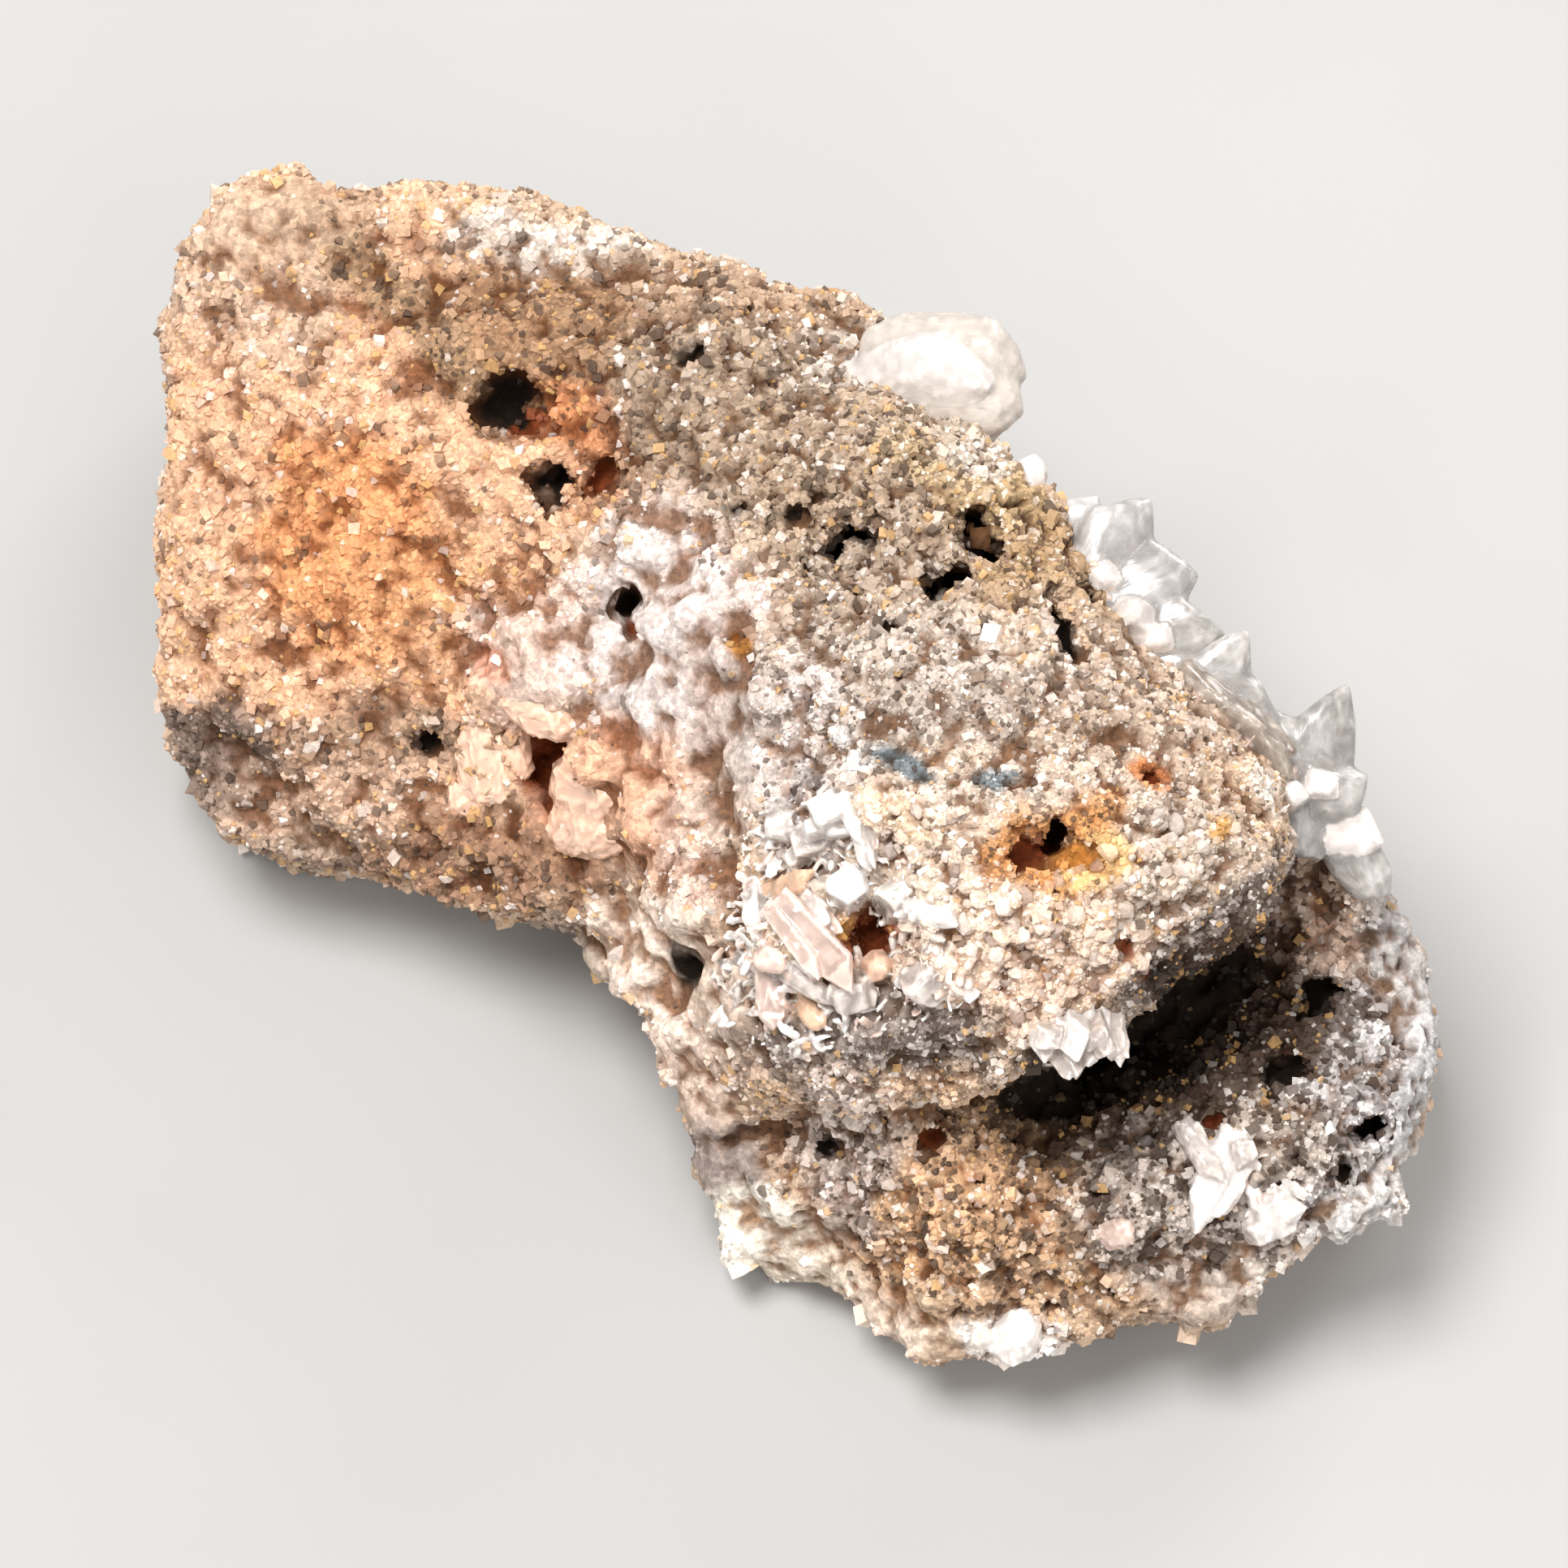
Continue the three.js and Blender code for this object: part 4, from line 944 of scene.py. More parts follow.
def on_ovals(points, ovals):
    """Share, from 0 to 1, that each point lies on the ragged ovals."""
    warped = points.copy()
    warped[:, 0] += 0.5 * wave_noise(points, 2.2, 21)
    warped[:, 1] += 0.5 * wave_noise(points, 2.4, 22)
    return np.max([1 - smooth(0.7, 1.15, oval(warped, *spot)) for spot in ovals], axis=0)


def roughness_of(points):
    """How crumbly and how porous the rock is from place to place."""
    rough = np.full(len(points), GROUND_ROUGH)
    porous = np.full(len(points), GROUND_POROUS)
    for at, half, turn, crumb, pores in ROUGHNESS:
        weight = 1 - smooth(0.8, 1.2, oval(points, at, half, turn))
        rough += weight * (crumb - rough)
        porous += weight * (pores - porous)
    return rough, porous


def ragged_cutter(depth_at):
    """All pits as one body to be cut from the rock."""
    bm = bmesh.new()
    for number, (at, half, deep, turn, _) in enumerate(PITS):
        made = bmesh.ops.create_icosphere(bm, subdivisions=4, radius=1.0)["verts"]
        spin = Matrix.Rotation(math.radians(turn), 4, "Z")
        centre = Vector((at[0], at[1], depth_at(at)))
        unit = np.array([v.co[:] for v in made])
        rough = 1 + 0.2 * wave_noise(unit, 0.9, 40 + number) + 0.14 * wave_noise(unit, 0.4, 90 + number)
        for vert, share in zip(made, rough):
            scaled = Vector((vert.co.x * half[0], vert.co.y * half[1], vert.co.z * deep)) * share
            vert.co = centre + spin @ scaled
    return shown("pits", remeshed(mesh_from(bm, "pits"), PIT_VOXEL, 0))


def remeshed(mesh, voxel, passes, limit=None):
    """A mesh made one even closed skin, its edges worn, thinned to a limit of triangles."""
    obj = shown("work", mesh)
    remesh = obj.modifiers.new("Fine", "REMESH")
    remesh.mode = "VOXEL"
    remesh.voxel_size = voxel
    worn = obj.modifiers.new("Worn", "SMOOTH")
    worn.iterations = passes
    worn.factor = 0.6
    mesh = applied(obj)
    return thinned(mesh, limit) if limit else mesh


def thinned(mesh, limit):
    """A mesh with at most this many triangles."""
    faces = sum(len(p.vertices) - 2 for p in mesh.polygons)
    obj = shown("work", mesh)
    obj.modifiers.new("Thin", "DECIMATE").ratio = min(1.0, limit / faces)
    return applied(obj)


def only_finish(mesh, finish):
    """Leaves a mesh with this one material on all of its faces, or with none."""
    mesh.materials.clear()
    if finish:
        mesh.materials.append(finish)
    mesh.polygons.foreach_set("material_index", np.zeros(len(mesh.polygons), dtype=np.int32))


def mesh_from(bm, name):
    """A mesh of what was edited, which is let go."""
    mesh = bpy.data.meshes.new(name)
    bm.to_mesh(mesh)
    bm.free()
    return mesh


def hulled(bm):
    """Replaces loose corners by the closed shape that wraps them."""
    bmesh.ops.convex_hull(bm, input=bm.verts)
    bmesh.ops.delete(bm, geom=[v for v in bm.verts if not v.link_faces], context="VERTS")


def joined(*meshes):
    """The given meshes as one, each still a body of its own."""
    bm = bmesh.new()
    for mesh in meshes:
        bm.from_mesh(mesh)
    return mesh_from(bm, "joined")


def rock_mesh(settings, finish):
    """The rock in the face frame: the solid, rounded, knobbly, pitted, crumbled and thinned."""
    solid = cad_copy("matrix_rock")
    face = Face(solid)
    mesh = remeshed(solid, SKIN_VOXEL, settings.smoothing)
    work = shown("work", mesh)
    points = points_of(mesh)
    outward = normals_of(mesh)[:, 2] > 0.0
    knobs = [
        strewn(work, "nodules", on_ovals(points, ovals) * outward, *layout, NODULE_TILT, 20 + number)
        for number, (ovals, *layout) in enumerate(NODULES)
    ]
    mesh = remeshed(joined(mesh, *knobs), NODULE_VOXEL, 2)
    bpy.data.objects.remove(work)
    obj = shown("work", mesh)
    cutter = ragged_cutter(face.depth)
    cut = obj.modifiers.new("Pits", "BOOLEAN")
    cut.operation = "DIFFERENCE"
    cut.solver = "MANIFOLD"
    cut.object = cutter
    mesh = remeshed(applied(obj), settings.voxel, 0)
    bpy.data.objects.remove(cutter)
    points = points_of(mesh)
    rough, porous = roughness_of(points)
    height = moved(points, TO_ROW)[:, 2] * 1000
    above = smooth(0.2, 1.6, height)  # no crumbs or pores at the flat base
    add_floats(mesh, rough=rough * above, porous=porous * above - (1 - above) * 3)
    work = shown("work", mesh)
    mesh = run_nodes(work, relief_tree(), {
        "Swell": settings.swell, "Crumb": settings.crumb, "Pore": settings.pore,
        "Finish": finish,
    })
    bpy.data.objects.remove(work)
    mesh = thinned(mesh, MATRIX_LIMIT)
    points = moved(points_of(mesh), TO_ROW)
    points[:, 2] = np.maximum(points[:, 2], 0.0)
    set_points(mesh, moved(points, TO_FACE))
    add_floats(mesh, raised=np.clip(standing_out(mesh, 7), -0.6, 0.6))
    return mesh, face


# ---- Materials ----


def new_material(name):
    """A material, its graph, its shader's sockets and the object's coordinates."""
    material = bpy.data.materials.new(name)
    material.use_nodes = True
    graph = Graph(material.node_tree)
    sockets = material.node_tree.nodes["Principled BSDF"].inputs
    return material, graph, sockets, graph.add("ShaderNodeTexCoord").outputs["Object"]


def stone_material(name):
    """Stone in the mesh's own tint, mottled and speckled."""
    fineness, mottling, speckling, bumps, refraction = STONES[name]
    material, graph, sockets, place = new_material(name)
    tint = graph.add("ShaderNodeAttribute", attribute_name="tint")
    fine = graph.noise(place, fineness, 3.0, 0.65)
    cells = graph.cells(place, 2900.0)
    shade = graph.ramp(fine, 0.3, 0.75, 0.6, 1.3)
    mottled = graph.mix(mottling, tint.outputs["Color"], shade, "MULTIPLY")
    bits = graph.add("ShaderNodeSeparateColor", {"Color": cells.outputs["Color"]})
    light = graph.ramp(bits.outputs["Red"], 0.0, 1.0, 0.72, 1.3)
    speckled = graph.mix(speckling, mottled, light, "MULTIPLY")
    graph.fill(sockets["Base Color"], speckled)
    dull = graph.math("SUBTRACT", 0.95, graph.math("MULTIPLY", tint.outputs["Alpha"], 0.78))
    graph.fill(sockets["Roughness"], graph.math("MULTIPLY_ADD", fine, 0.1, dull, clamp=True))
    bump = graph.add("ShaderNodeBump", {"Strength": 0.45, "Distance": bumps, "Height": fine})
    graph.fill(sockets["Normal"], bump)
    sockets["IOR"].default_value = refraction
    return material


def barite_material(name, clarity, cloud, lined, absorption):
    """Barite that is see-through to the given share, with clouds and growth lines."""
    material, graph, sockets, place = new_material(name)
    tint = graph.add("ShaderNodeAttribute", attribute_name="tint")
    grown = graph.add("ShaderNodeAttribute", attribute_name="grown")
    stretch = {0: grown.outputs["Vector"], 1: (lined, lined, 0.6)}
    lines = graph.add("ShaderNodeVectorMath", stretch, operation="MULTIPLY")
    growth = graph.noise(lines, 1.0, 3.0, 0.6, 0.3)
    clouds = graph.noise(place, 700.0, 3.0, 0.6, 0.6)
    clear = graph.math(
        "MULTIPLY", graph.ramp(clouds, 0.38, 0.68, clarity, clarity * cloud), tint.outputs["Alpha"]
    )
    fleck = graph.ramp(graph.noise(place, 2600.0, 2.0, 0.7), 0.62, 0.8, 0.0, 0.35)
    colour = graph.mix(fleck, tint.outputs["Color"], FLECK_TINT)
    graph.fill(sockets["Base Color"], colour)
    graph.fill(sockets["Transmission Weight"], clear)
    graph.fill(sockets["Roughness"], graph.ramp(growth, 0.3, 0.75, 0.1, 0.38))
    graph.fill(sockets["Normal"], graph.add("ShaderNodeBump", {
        "Strength": 0.35, "Distance": 0.00005, "Height": growth,
    }))
    sockets["IOR"].default_value = BARITE_IOR
    inside = graph.add(
        "ShaderNodeVolumeAbsorption", {"Color": ABSORPTION_TINT, "Density": absorption}
    )
    output = next(n for n in material.node_tree.nodes if n.type == "OUTPUT_MATERIAL")
    graph.fill(output.inputs["Volume"], inside)
    return material


def floor_material(colour):
    """A matt floor in this colour, here and there a little darker."""
    material, graph, sockets, place = new_material("pale_floor")
    graph.fill(sockets["Base Color"], graph.mix(
        graph.ramp(graph.noise(place, 40.0), 0.3, 0.7), (*colour, 1.0), (*[c * 0.97 for c in colour], 1.0)
    ))
    sockets["Roughness"].default_value = 0.85
    return material


# ---- Pieces ----


def finish_piece(obj, node):
    """Attaches a finished piece to the root body and hides the CAD node that it stands in for."""
    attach(obj, "root")
    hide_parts(node)


def to_row(mesh):
    """Takes a mesh from the face frame to the row frame, nothing below the resting plane."""
    points = moved(points_of(mesh), TO_ROW)
    points[:, 2] = np.maximum(points[:, 2], 0.00001)
    set_points(mesh, points)


def shaded_smooth(mesh):
    mesh.polygons.foreach_set("use_smooth", np.ones(len(mesh.polygons), dtype=bool))


SHARED = {}  # what one operator makes and a later one needs


class CLUSTER_OT_rock(bpy.types.Operator):
    """Make the porous rock with its pits"""

    bl_idname = "cluster.rock"
    bl_label = "Rock"

    def execute(self, context):
        finish = stone_material("crumbly_matrix")
        mesh, face = rock_mesh(context.scene.cluster_rock, finish)
        SHARED["face"] = face
        SHARED["bare_rock"] = mesh.copy()
        points = points_of(mesh)
        colour, _, _ = stone_colours(points, face.hidden(points))
        inside, pit_stain_or_shade = pit_depths(points, face.depth)
        pore = values_of(mesh, "pore")
        # Painted shade: darker in the crevices and near-black in the pores and the black pits; the rust and
        # ochre in pits is stain.
        colour *= crevice_shade(values_of(mesh, "raised"), 0.92)
        colour += (0.85 * pore)[:, None] * (np.array(PORE_SHADE) - colour)
        colour += inside[:, None] * (pit_stain_or_shade - colour)
        store_tint(mesh, colour, np.full(len(points), 0.1))
        drop_attributes(mesh, "pore", "raised", "rough", "porous")
        only_finish(mesh, finish)
        to_row(mesh)
        shaded_smooth(mesh)
        finish_piece(shown("matrix_rock_dressed", mesh), "matrix_rock")
        return {"FINISHED"}


def grain_kinds(kind):
    """A collection of small closed shapes of one kind to strew, kept out of the scene."""
    corners_of, count = KINDS[kind]
    kinds = bpy.data.collections.new(kind)
    draw = np.random.default_rng(5)
    for number in range(count):
        bm = bmesh.new()
        for corner in corners_of(draw):
            bm.verts.new(corner)
        hulled(bm)
        bmesh.ops.recalc_face_normals(bm, faces=bm.faces)
        name = f"{kind}_{number}"
        kinds.objects.link(bpy.data.objects.new(name, mesh_from(bm, name)))
    return kinds


def discard_kinds():
    """Removes the shapes that were strewn, now that each coat is a mesh of its own."""
    for kinds in list(bpy.data.collections):
        for obj in list(kinds.objects):
            bpy.data.meshes.remove(obj.data)
        bpy.data.collections.remove(kinds)


def sand_grain(draw):
    """Uneven corners of a grain, about one across: blocky or rounded."""
    if draw.random() < 0.4:
        return [
            (x * draw.uniform(0.25, 0.5), y * draw.uniform(0.25, 0.5), z * draw.uniform(0.25, 0.5))
            for x in (-1, 1) for y in (-1, 1) for z in (-1, 1)
        ]
    return rounded_corners(draw, 8, 0.12)


def rounded_corners(draw, count, uneven):
    """Corners spread over a ball about one across."""
    turn = math.pi * (3 - math.sqrt(5))
    corners = []
    for i in range(count):
        z = 1 - 2 * (i + 0.5) / count
        flat = math.sqrt(1 - z * z)
        reach = 0.5 * (1 + uneven * draw.uniform(-1.6, 1))
        corners.append((reach * flat * math.cos(turn * i), reach * flat * math.sin(turn * i), reach * z))
    return corners


def nodule(draw):
    """A rounded, slightly blocky lump."""
    squeeze = [draw.uniform(0.65, 1.1) for _ in range(3)]
    return [
        tuple(math.copysign(abs(c * 2) ** 0.6 / 2 * k, c) for c, k in zip(p, squeeze))
        for p in rounded_corners(draw, 20, 0.16)
    ]


def druse_crystal(draw):
    """A small tabular or blocky crystal standing on its foot."""
    wide = draw.uniform(0.3, 0.55)
    deep = wide * draw.uniform(0.3, 0.95)
    tall = draw.uniform(0.5, 1.0)
    point = draw.uniform(0.35, 0.9)
    corners = []
    for z, scale in ((-0.3, 0.9), (tall * 0.7, 1.0), (tall, point)):
        for x, y in octagon(0.5, 0.7):
            corners.append((
                x * wide * scale * 0.5, y * deep * (0.5 + 0.5 * scale) * 0.5,
                z + 0.06 * draw.uniform(-1, 1) * (z > 0.4),
            ))
    return corners


# Kinds of grain: what gives the corners of one, and how many different ones are made.
KINDS = {"sand": (sand_grain, 12), "nodules": (nodule, 9), "druse": (druse_crystal, 10)}


def region_of(points, height, outward):
    """Name of the region each point of the rock belongs to, by its place on the face."""
    names = np.full(len(points), "lower", dtype="<U8")
    u, v = points[:, 0], points[:, 1]
    front_top = 5.5 - 0.25 * (u - 5)
    names[(v > -5) & (u < -8)] = "left"
    names[(v > 15) & (u < 2)] = "left"
    names[(u >= -9) & (u < -1.2) & (v <= 15)] = "flank"
    names[(u < -1.2) & (v <= -4.5)] = "flank"
    names[(u >= -1.2) & (v > front_top)] = "shoulder"
    names[(u >= -1.6) & (v <= front_top) & (v > -14.5) & (points[:, 2] > -7.5)] = "front"
    names[outward < -0.05] = "reverse"
    names[height < 0.02] = "base"
    return names


class CLUSTER_OT_grains(bpy.types.Operator):
    """Strew the rock with sand grains and with the small crystals of each druse"""

    bl_idname = "cluster.grains"
    bl_label = "Grains"

    def execute(self, context):
        settings = context.scene.cluster_grains
        rock = SHARED["bare_rock"]
        face = SHARED["face"]
        points = points_of(rock)
        height = moved(points, TO_ROW)[:, 2] * 1000
        outward = normals_of(rock)[:, 2]
        names = region_of(points, height, outward)
        crest = smooth(-0.25, 0.08, values_of(rock, "raised"))
        inside, _ = pit_depths(points, face.depth)
        crusted = np.max([on_ovals(points, c[1]) for c in COATS.values() if c[0] == "druse"], axis=0)
        nodular = np.max([on_ovals(points, group[0]) for group in NODULES], axis=0)
        # Fewer grains in pores, pits and crevices, under a druse and on nodules.
        bare = (1 - 0.8 * values_of(rock, "pore")) * (1 - 0.75 * inside)
        sandy = bare * (0.1 + 0.9 * crest) * (1 - 0.8 * crusted) * (1 - 0.94 * nodular)
        work = shown("work", rock)
        finish = stone_material("sand_grains")
        for number, (name, coat) in enumerate(COATS.items()):
            kind, where, spacing, smallest, largest, sink, tilt = coat
            if isinstance(where, str):
                share = (names == where) * sandy
            else:
                share = on_ovals(points, where) * (outward > 0.1) * bare
                if kind == "druse":
                    share = smooth(0.35, 0.8, share)
            size = spacing * settings.size
            mesh = strewn(
                work, kind, share, spacing, smallest * size, largest * size, sink, tilt,
                settings.seed + number, None if kind == "druse" else finish,
            )
            if kind == "druse":
                SHARED["druse_" + name] = mesh
                continue
            self.colour(mesh, face, kind)
            to_row(mesh)
            finish_piece(shown(name, mesh), "matrix_rock")
        bpy.data.objects.remove(work)
        discard_kinds()
        return {"FINISHED"}

    def colour(self, mesh, face, kind):
        """Gives each grain one colour, by its place and by chance, and one gloss."""
        centre = centres_of(mesh)
        colour, pale, dark = stone_colours(centre, face.hidden(centre))
        pick = chance(centre, 1)
        tone = chance(centre, 2)
        glint = chance(centre, 3)
        raised = values_of(mesh, "raised")
        mottle = 0.5 * wave_noise(centre, 1.5, 31) + 0.5 * wave_noise(centre, 0.8, 32)
        # Painted shade in the crevices and a little painted light on the crests.
        colour *= (0.88 + 0.2 * tone + 0.1 * mottle)[:, None] * crevice_shade(raised, 1.08)
        if kind == "sand":
            is_pale = pick < pale * (1 + 0.8 * mottle)
            is_dark = pick > 1 - dark * (1 - 1.2 * mottle)
            shaded = 1 - smooth(0.06, 0.16, colour.mean(axis=1))
            is_gold = ~is_pale & ~is_dark & (glint < 0.1 + 0.2 * shaded)
            gloss = 0.15 + 0.25 * glint
            colour[is_pale] += (0.15 + 0.45 * tone[is_pale])[:, None] * (GRAIN_WHITE - colour[is_pale])
            browned = np.minimum(1, 0.4 + 0.4 * tone + 0.5 * dark)[is_dark]
            colour[is_dark] += browned[:, None] * (GRAIN_BROWN - colour[is_dark])
            colour[is_gold] += 0.65 * (GRAIN_GOLD - colour[is_gold])
            gloss[is_pale] = 0.45 + 0.4 * glint[is_pale]
        else:
            colour += (0.1 + 0.45 * pick**2)[:, None] * (GRAIN_WHITE - colour)
            gloss = 0.35 + 0.4 * glint
        # Grains in black pits take the pits' painted shade; in the other pits they take their rust or ochre
        # stain.
        inside, pit_stain_or_shade = pit_depths(centre, face.depth)
        colour += (0.85 * inside)[:, None] * (pit_stain_or_shade * 1.4 - colour)
        store_tint(mesh, colour, gloss)
        drop_attributes(mesh, "id", "centre", "coat", "pore", "raised", "rough", "porous")


def one_crystal(form, width, thick, length, settings, draw):
    """A cleaved crystal on its own axes: across, through, along."""
    section, rings = FORMS[form]
    one = bmesh.new()
    rounded = form == "lump"
    for at, scale in rings:
        lean = draw.uniform(-0.16, 0.16) * (at > 0.9)
        for x, y in section:
            uneven = 1 + (0.16 if rounded else 0.06) * draw.uniform(-1, 1)
            one.verts.new((
                0.5 * width * x * scale * uneven,
                0.5 * thick * y * (scale if form != "blade" else 0.4 + 0.6 * scale) * uneven,
                length * (at + lean * x + 0.03 * draw.uniform(-1, 1)),
            ))
    hulled(one)
    for _ in range(0 if rounded else settings.chips):
        side = Vector((draw.uniform(-1, 1) * 2, draw.uniform(-1, 1), draw.uniform(0.1, 1))).normalized()
        reach = max(v.co.dot(side) for v in one.verts)
        depth = draw.uniform(0.05, 0.22) * min(width, thick * 1.6)
        cut = bmesh.ops.bisect_plane(
            one, geom=one.verts[:] + one.edges[:] + one.faces[:], plane_co=side * (reach - depth),
            plane_no=side, clear_outer=True,
        )["geom_cut"]
        bmesh.ops.contextual_create(one, geom=[e for e in cut if isinstance(e, bmesh.types.BMEdge)])
    bmesh.ops.dissolve_limit(one, angle_limit=math.radians(5), verts=one.verts, edges=one.edges)
    if form == "plate":
        broad = [f for f in one.faces if abs(f.normal.y) > 0.9 and f.calc_area() > 0.3 * width * length]
        bmesh.ops.inset_region(one, faces=broad, thickness=0.13 * width, depth=0)
        for f in broad:
            bmesh.ops.translate(one, verts=f.verts, vec=Vector(f.normal) * -0.12 * thick)
    bmesh.ops.triangulate(one, faces=one.faces)
    bmesh.ops.recalc_face_normals(one, faces=one.faces)
    return one


class Growth:
    """The crystals of one cluster, each with its tint and its own axes, to be fused."""

    def __init__(self):
        self.body = bmesh.new()
        self.tints, self.axes, self.feet, self.of_face = [], [], [], []

    def piece(self, tint, axes, foot):
        """Notes a crystal that is being added."""
        self.tints.append(tint)
        self.axes.append(np.array(axes))
        self.feet.append(np.array(foot))

    def crystal(self, form, foot, tip, width, thick, roll, tint, settings, draw):
        """Adds a crystal that stands from foot to tip, rolled about its own length."""
        foot, tip = Vector(foot), Vector(tip)
        along = (tip - foot).normalized()
        across = Vector((0, 0, 1)).cross(along)
        if across.length < 0.2:
            across = Vector((1, 0, 0)).cross(along)
        across = Matrix.Rotation(math.radians(roll), 3, along) @ across.normalized()
        axes = Matrix((across, along.cross(across), along))
        one = one_crystal(form, width, thick, (tip - foot).length, settings, draw)
        self.piece(tint, axes, foot)
        place = axes.transposed().to_4x4()
        place.translation = foot
        self.of_face += [len(self.tints) - 1] * len(one.faces)
        mesh = mesh_from(one, "one")
        mesh.transform(place)
        self.body.from_mesh(mesh)
        bpy.data.meshes.remove(mesh)

    def beside(self, count, form, foot, tip, width, thick, roll, tint, settings, draw):
        """Lesser crystals of the same kind, nearly parallel to a listed one."""
        foot, tip = Vector(foot), Vector(tip)
        for _ in range(0 if form == "lump" else count):
            shift = Vector((draw.uniform(-1, 1), draw.uniform(-1, 1), draw.uniform(-0.3, 0.2))) * 0.45 * width
            turn = Vector([draw.uniform(-1, 1) for _ in range(3)]) * 0.16 * (tip - foot).length
            share = draw.uniform(0.5, 0.85)
            self.crystal(
                form, foot + shift, foot + (tip - foot) * share + shift + turn,
                width * draw.uniform(0.4, 0.7), thick * draw.uniform(0.5, 0.8),
                roll + draw.uniform(-25, 25), tint, settings, draw,
            )

    def druse(self, mesh):
        """Adds small strewn crystals, each clear, milky or pink by chance."""
        centres = centres_of(mesh)
        first = [p.vertices[0] for p in mesh.polygons]
        unique, number = np.unique(np.round(centres[first], 4), axis=0, return_inverse=True)
        start = len(self.tints)
        pick = chance(unique, 1)
        for centre, share in zip(unique, pick):
            self.piece(CLEAR if share < 0.4 else MILKY if share < 0.7 else PINK, np.eye(3), centre)
        self.body.from_mesh(mesh)
        self.of_face += list(start + number.ravel())

    def fused(self, voxel, passes, limit, uneven, rim):
        """One closed body of all the crystals, with tint and growth coordinates on its points."""
        tree = BVHTree.FromBMesh(self.body)
        mesh = remeshed(mesh_from(self.body, "grown"), voxel, passes, limit)
        points = points_of(mesh)
        height = uneven * (0.6 * wave_noise(points, 0.8, 51) + 0.4 * wave_noise(points, 0.4, 52))
        set_points(mesh, points + height[:, None] * normals_of(mesh))
        hit = np.array([tree.find_nearest(Vector(p))[2] for p in points])
        piece = np.array(self.of_face)[hit]
        feet = np.array(self.feet)[piece]
        grown = np.einsum("nij,nj->ni", np.array(self.axes)[piece], points - feet)
        grown += 50 * np.stack([chance(feet, 7), chance(feet, 8), chance(feet, 9)], axis=1)
        tint = np.array(self.tints)[piece]
        # Edges that stand out turn paler, a painted highlight, and less clear.
        worn = smooth(0.0, 0.35 * voxel, standing_out(mesh, 2))
        colour = tint[:, :3] * (1 + rim * worn)[:, None]
        colour *= (0.86 + 0.24 * chance(feet, 4) + 0.08 * wave_noise(points, 1.1, 53))[:, None]
        store_tint(mesh, colour, tint[:, 3] * (1 - 0.5 * worn))
        layer = mesh.attributes.new("grown", "FLOAT_VECTOR", "POINT")
        layer.data.foreach_set("vector", grown.astype(np.float32).ravel())
        return mesh


class CLUSTER_OT_crystals(bpy.types.Operator):
    """Grow the barite blades, plates, blocks and knobs"""

    bl_idname = "cluster.crystals"
    bl_label = "Crystals"

    def execute(self, context):
        settings = context.scene.cluster_crystals
        face = SHARED["face"]
        finishes = {
            slot: barite_material(*values, settings.absorption) for slot, values in BARITES.items()
        }
        for number, (node, (on_face, crystals)) in enumerate(CLUSTERS.items()):
            slot, voxel, passes, limit, lesser, uneven = GROWTH[node]
            draw = np.random.default_rng(100 + number)
            growth = Growth()
            for form, foot, tip, *rest in crystals:
                if on_face:
                    foot = (foot[0], foot[1], foot[2] + face.depth(foot))
                    tip = (tip[0], tip[1], tip[2] + face.depth(tip))
                growth.crystal(form, foot, tip, *rest, settings, draw)
                growth.beside(lesser, form, foot, tip, *rest, settings, draw)
            if "druse_" + node in SHARED:
                growth.druse(SHARED["druse_" + node])
            mesh = growth.fused(voxel, passes, limit, uneven, settings.rim)
            mesh.materials.append(finishes[slot])
            to_row(mesh)
            shaded_smooth(mesh)
            mesh.set_sharp_from_angle(angle=SHARP_ANGLE)
            finish_piece(shown(node + "_dressed", mesh), node)
        return {"FINISHED"}


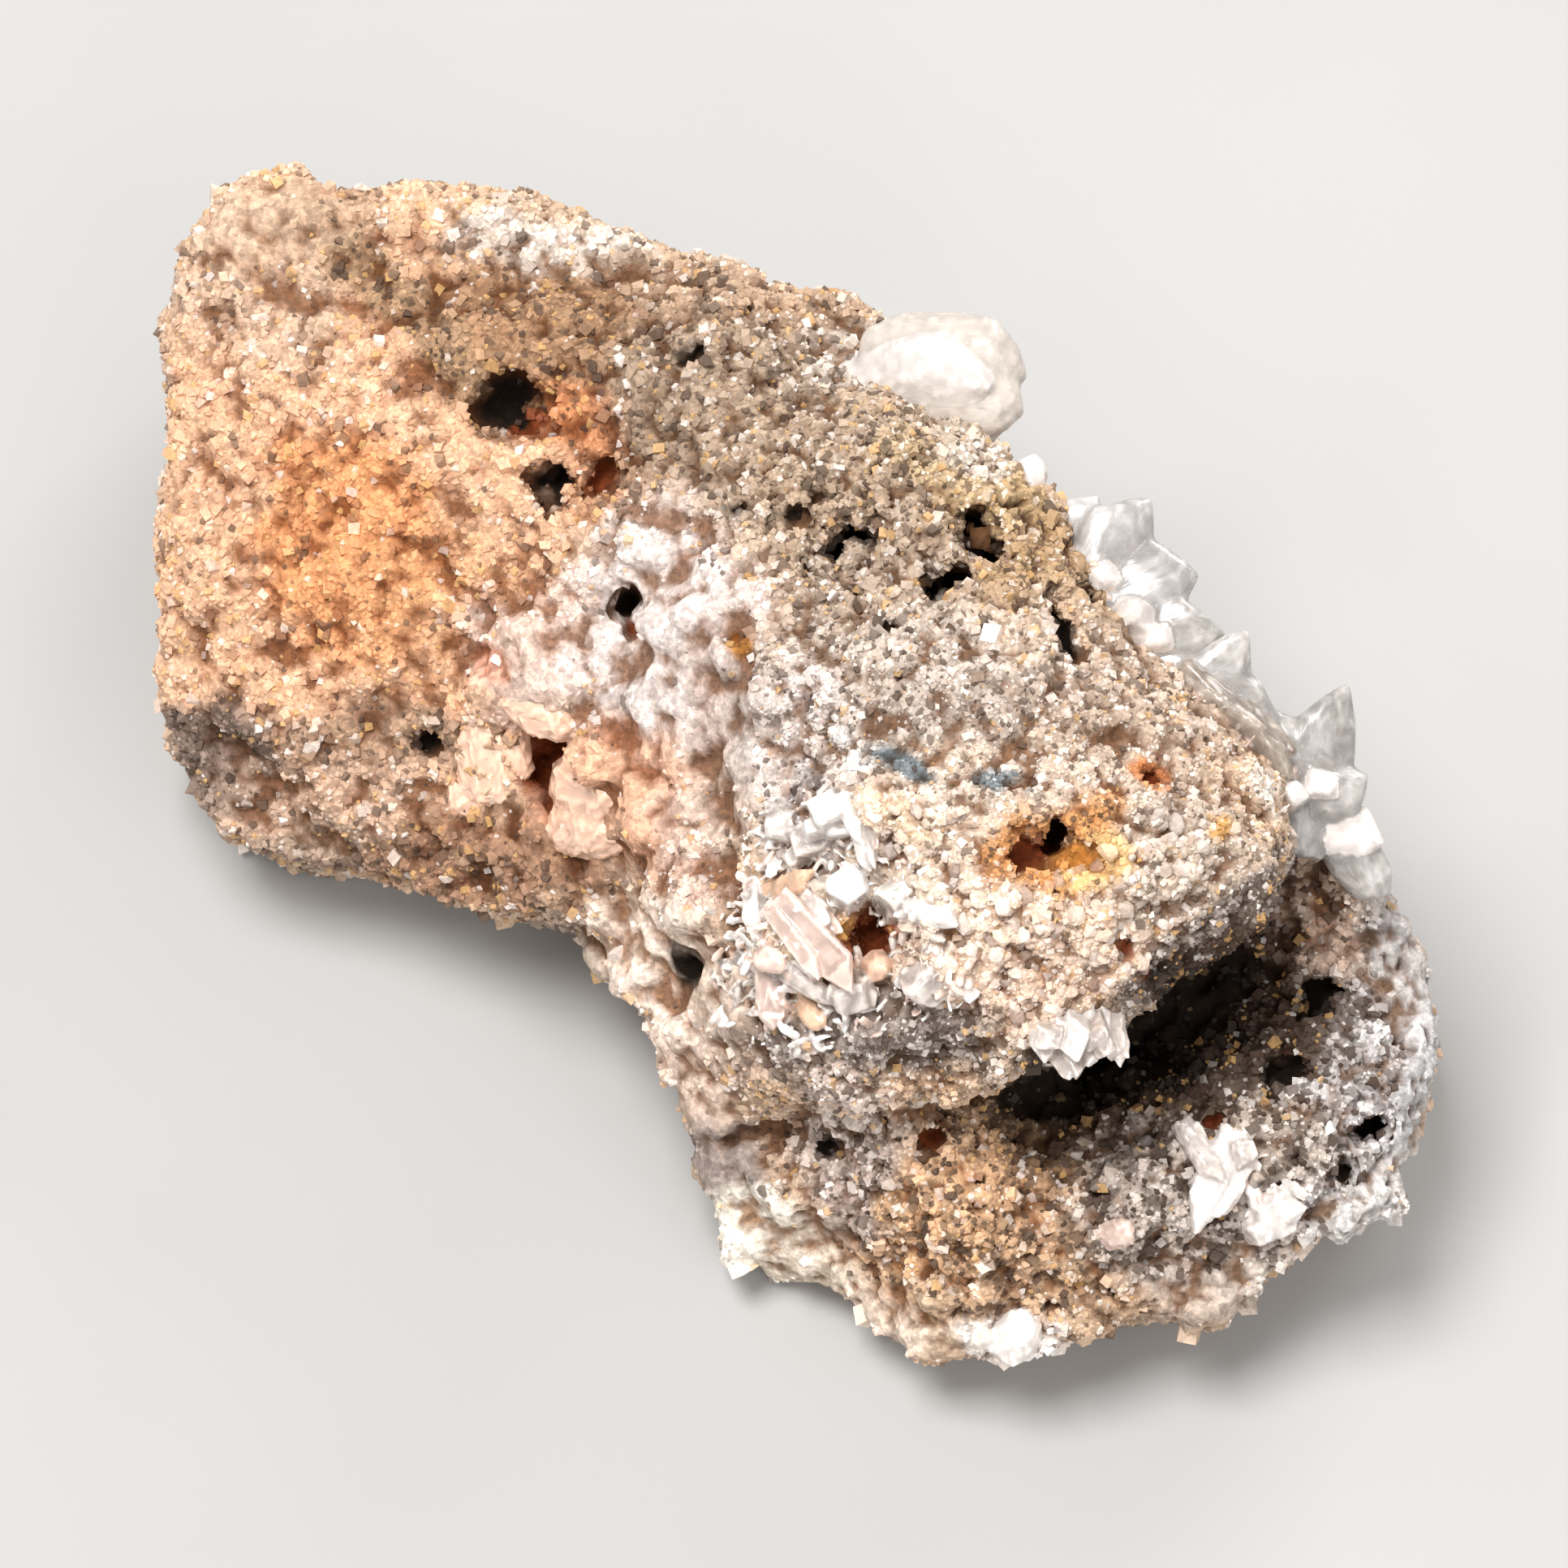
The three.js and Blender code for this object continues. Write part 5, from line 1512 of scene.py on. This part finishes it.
class CLUSTER_OT_stage(bpy.types.Operator):
    """Set up the floor, the lights and the camera"""

    bl_idname = "cluster.stage"
    bl_label = "Stage"

    def execute(self, context):
        settings = context.scene.cluster_stage
        scene = context.scene
        bpy.ops.mesh.primitive_plane_add(size=FLOOR_SIZE, location=(0, 0, 0))
        floor = context.object
        floor.name = "floor"
        floor.data.materials.append(floor_material(settings.floor))
        for name, (place, size, share) in LIGHTS.items():
            light = bpy.data.lights.new(name, "AREA")
            light.size = size
            light.energy = settings.light * share
            lamp = bpy.data.objects.new(name, light)
            scene.collection.objects.link(lamp)
            lamp.location = place
            lamp.rotation_euler = (Vector(place) - LIGHT_TARGET).to_track_quat("Z", "Y").to_euler()
        world = bpy.data.worlds.new("studio")
        world.use_nodes = True
        sockets = world.node_tree.nodes["Background"].inputs
        sockets["Color"].default_value = STUDIO_COLOUR
        sockets["Strength"].default_value = STUDIO_STRENGTH
        scene.world = world
        outwards = Vector((0, -math.cos(FACE_ELEVATION), math.sin(FACE_ELEVATION)))
        camera = bpy.data.objects.new("camera", bpy.data.cameras.new("camera"))
        scene.collection.objects.link(camera)
        camera.data.sensor_width = SENSOR_WIDTH
        camera.data.lens = SENSOR_WIDTH / 2 * CAMERA_DISTANCE / CAMERA_HALF_WIDTH
        camera.data.clip_start = 0.01
        camera.location = (Vector(FACE_ORIGIN) + outwards * CAMERA_DISTANCE) * 0.001
        camera.rotation_euler = outwards.to_track_quat("Z", "Y").to_euler()
        scene.camera = camera
        scene.view_settings.view_transform = "Standard"
        return {"FINISHED"}


class CLUSTER_PT_panel(bpy.types.Panel):
    """Barite cluster tools"""

    bl_label = "Barite Crystal Cluster"
    bl_space_type = "VIEW_3D"
    bl_region_type = "UI"
    bl_category = "Barite"

    def draw(self, context):
        for group in ("cluster_rock", "cluster_grains", "cluster_crystals", "cluster_stage"):
            box = self.layout.box()
            settings = getattr(context.scene, group)
            for name in settings.bl_rna.properties.keys():
                if name not in ("name", "rna_type"):
                    box.prop(settings, name)
            box.operator("cluster." + group.split("_")[1])


GROUPS = {
    "cluster_rock": RockSettings,
    "cluster_grains": GrainSettings,
    "cluster_crystals": CrystalSettings,
    "cluster_stage": StageSettings,
}
CLASSES = [
    *GROUPS.values(),
    CLUSTER_OT_rock,
    CLUSTER_OT_grains,
    CLUSTER_OT_crystals,
    CLUSTER_OT_stage,
    CLUSTER_PT_panel,
]


def register():
    for cls in CLASSES:
        bpy.utils.register_class(cls)
    for name, group in GROUPS.items():
        setattr(bpy.types.Scene, name, PointerProperty(type=group))


def unregister():
    for name in GROUPS:
        delattr(bpy.types.Scene, name)
    for cls in reversed(CLASSES):
        bpy.utils.unregister_class(cls)


def main():
    register()
    bpy.ops.cluster.stage()
    bpy.ops.cluster.rock()
    bpy.ops.cluster.grains()
    bpy.ops.cluster.crystals()


if __name__ == "__main__":
    main()
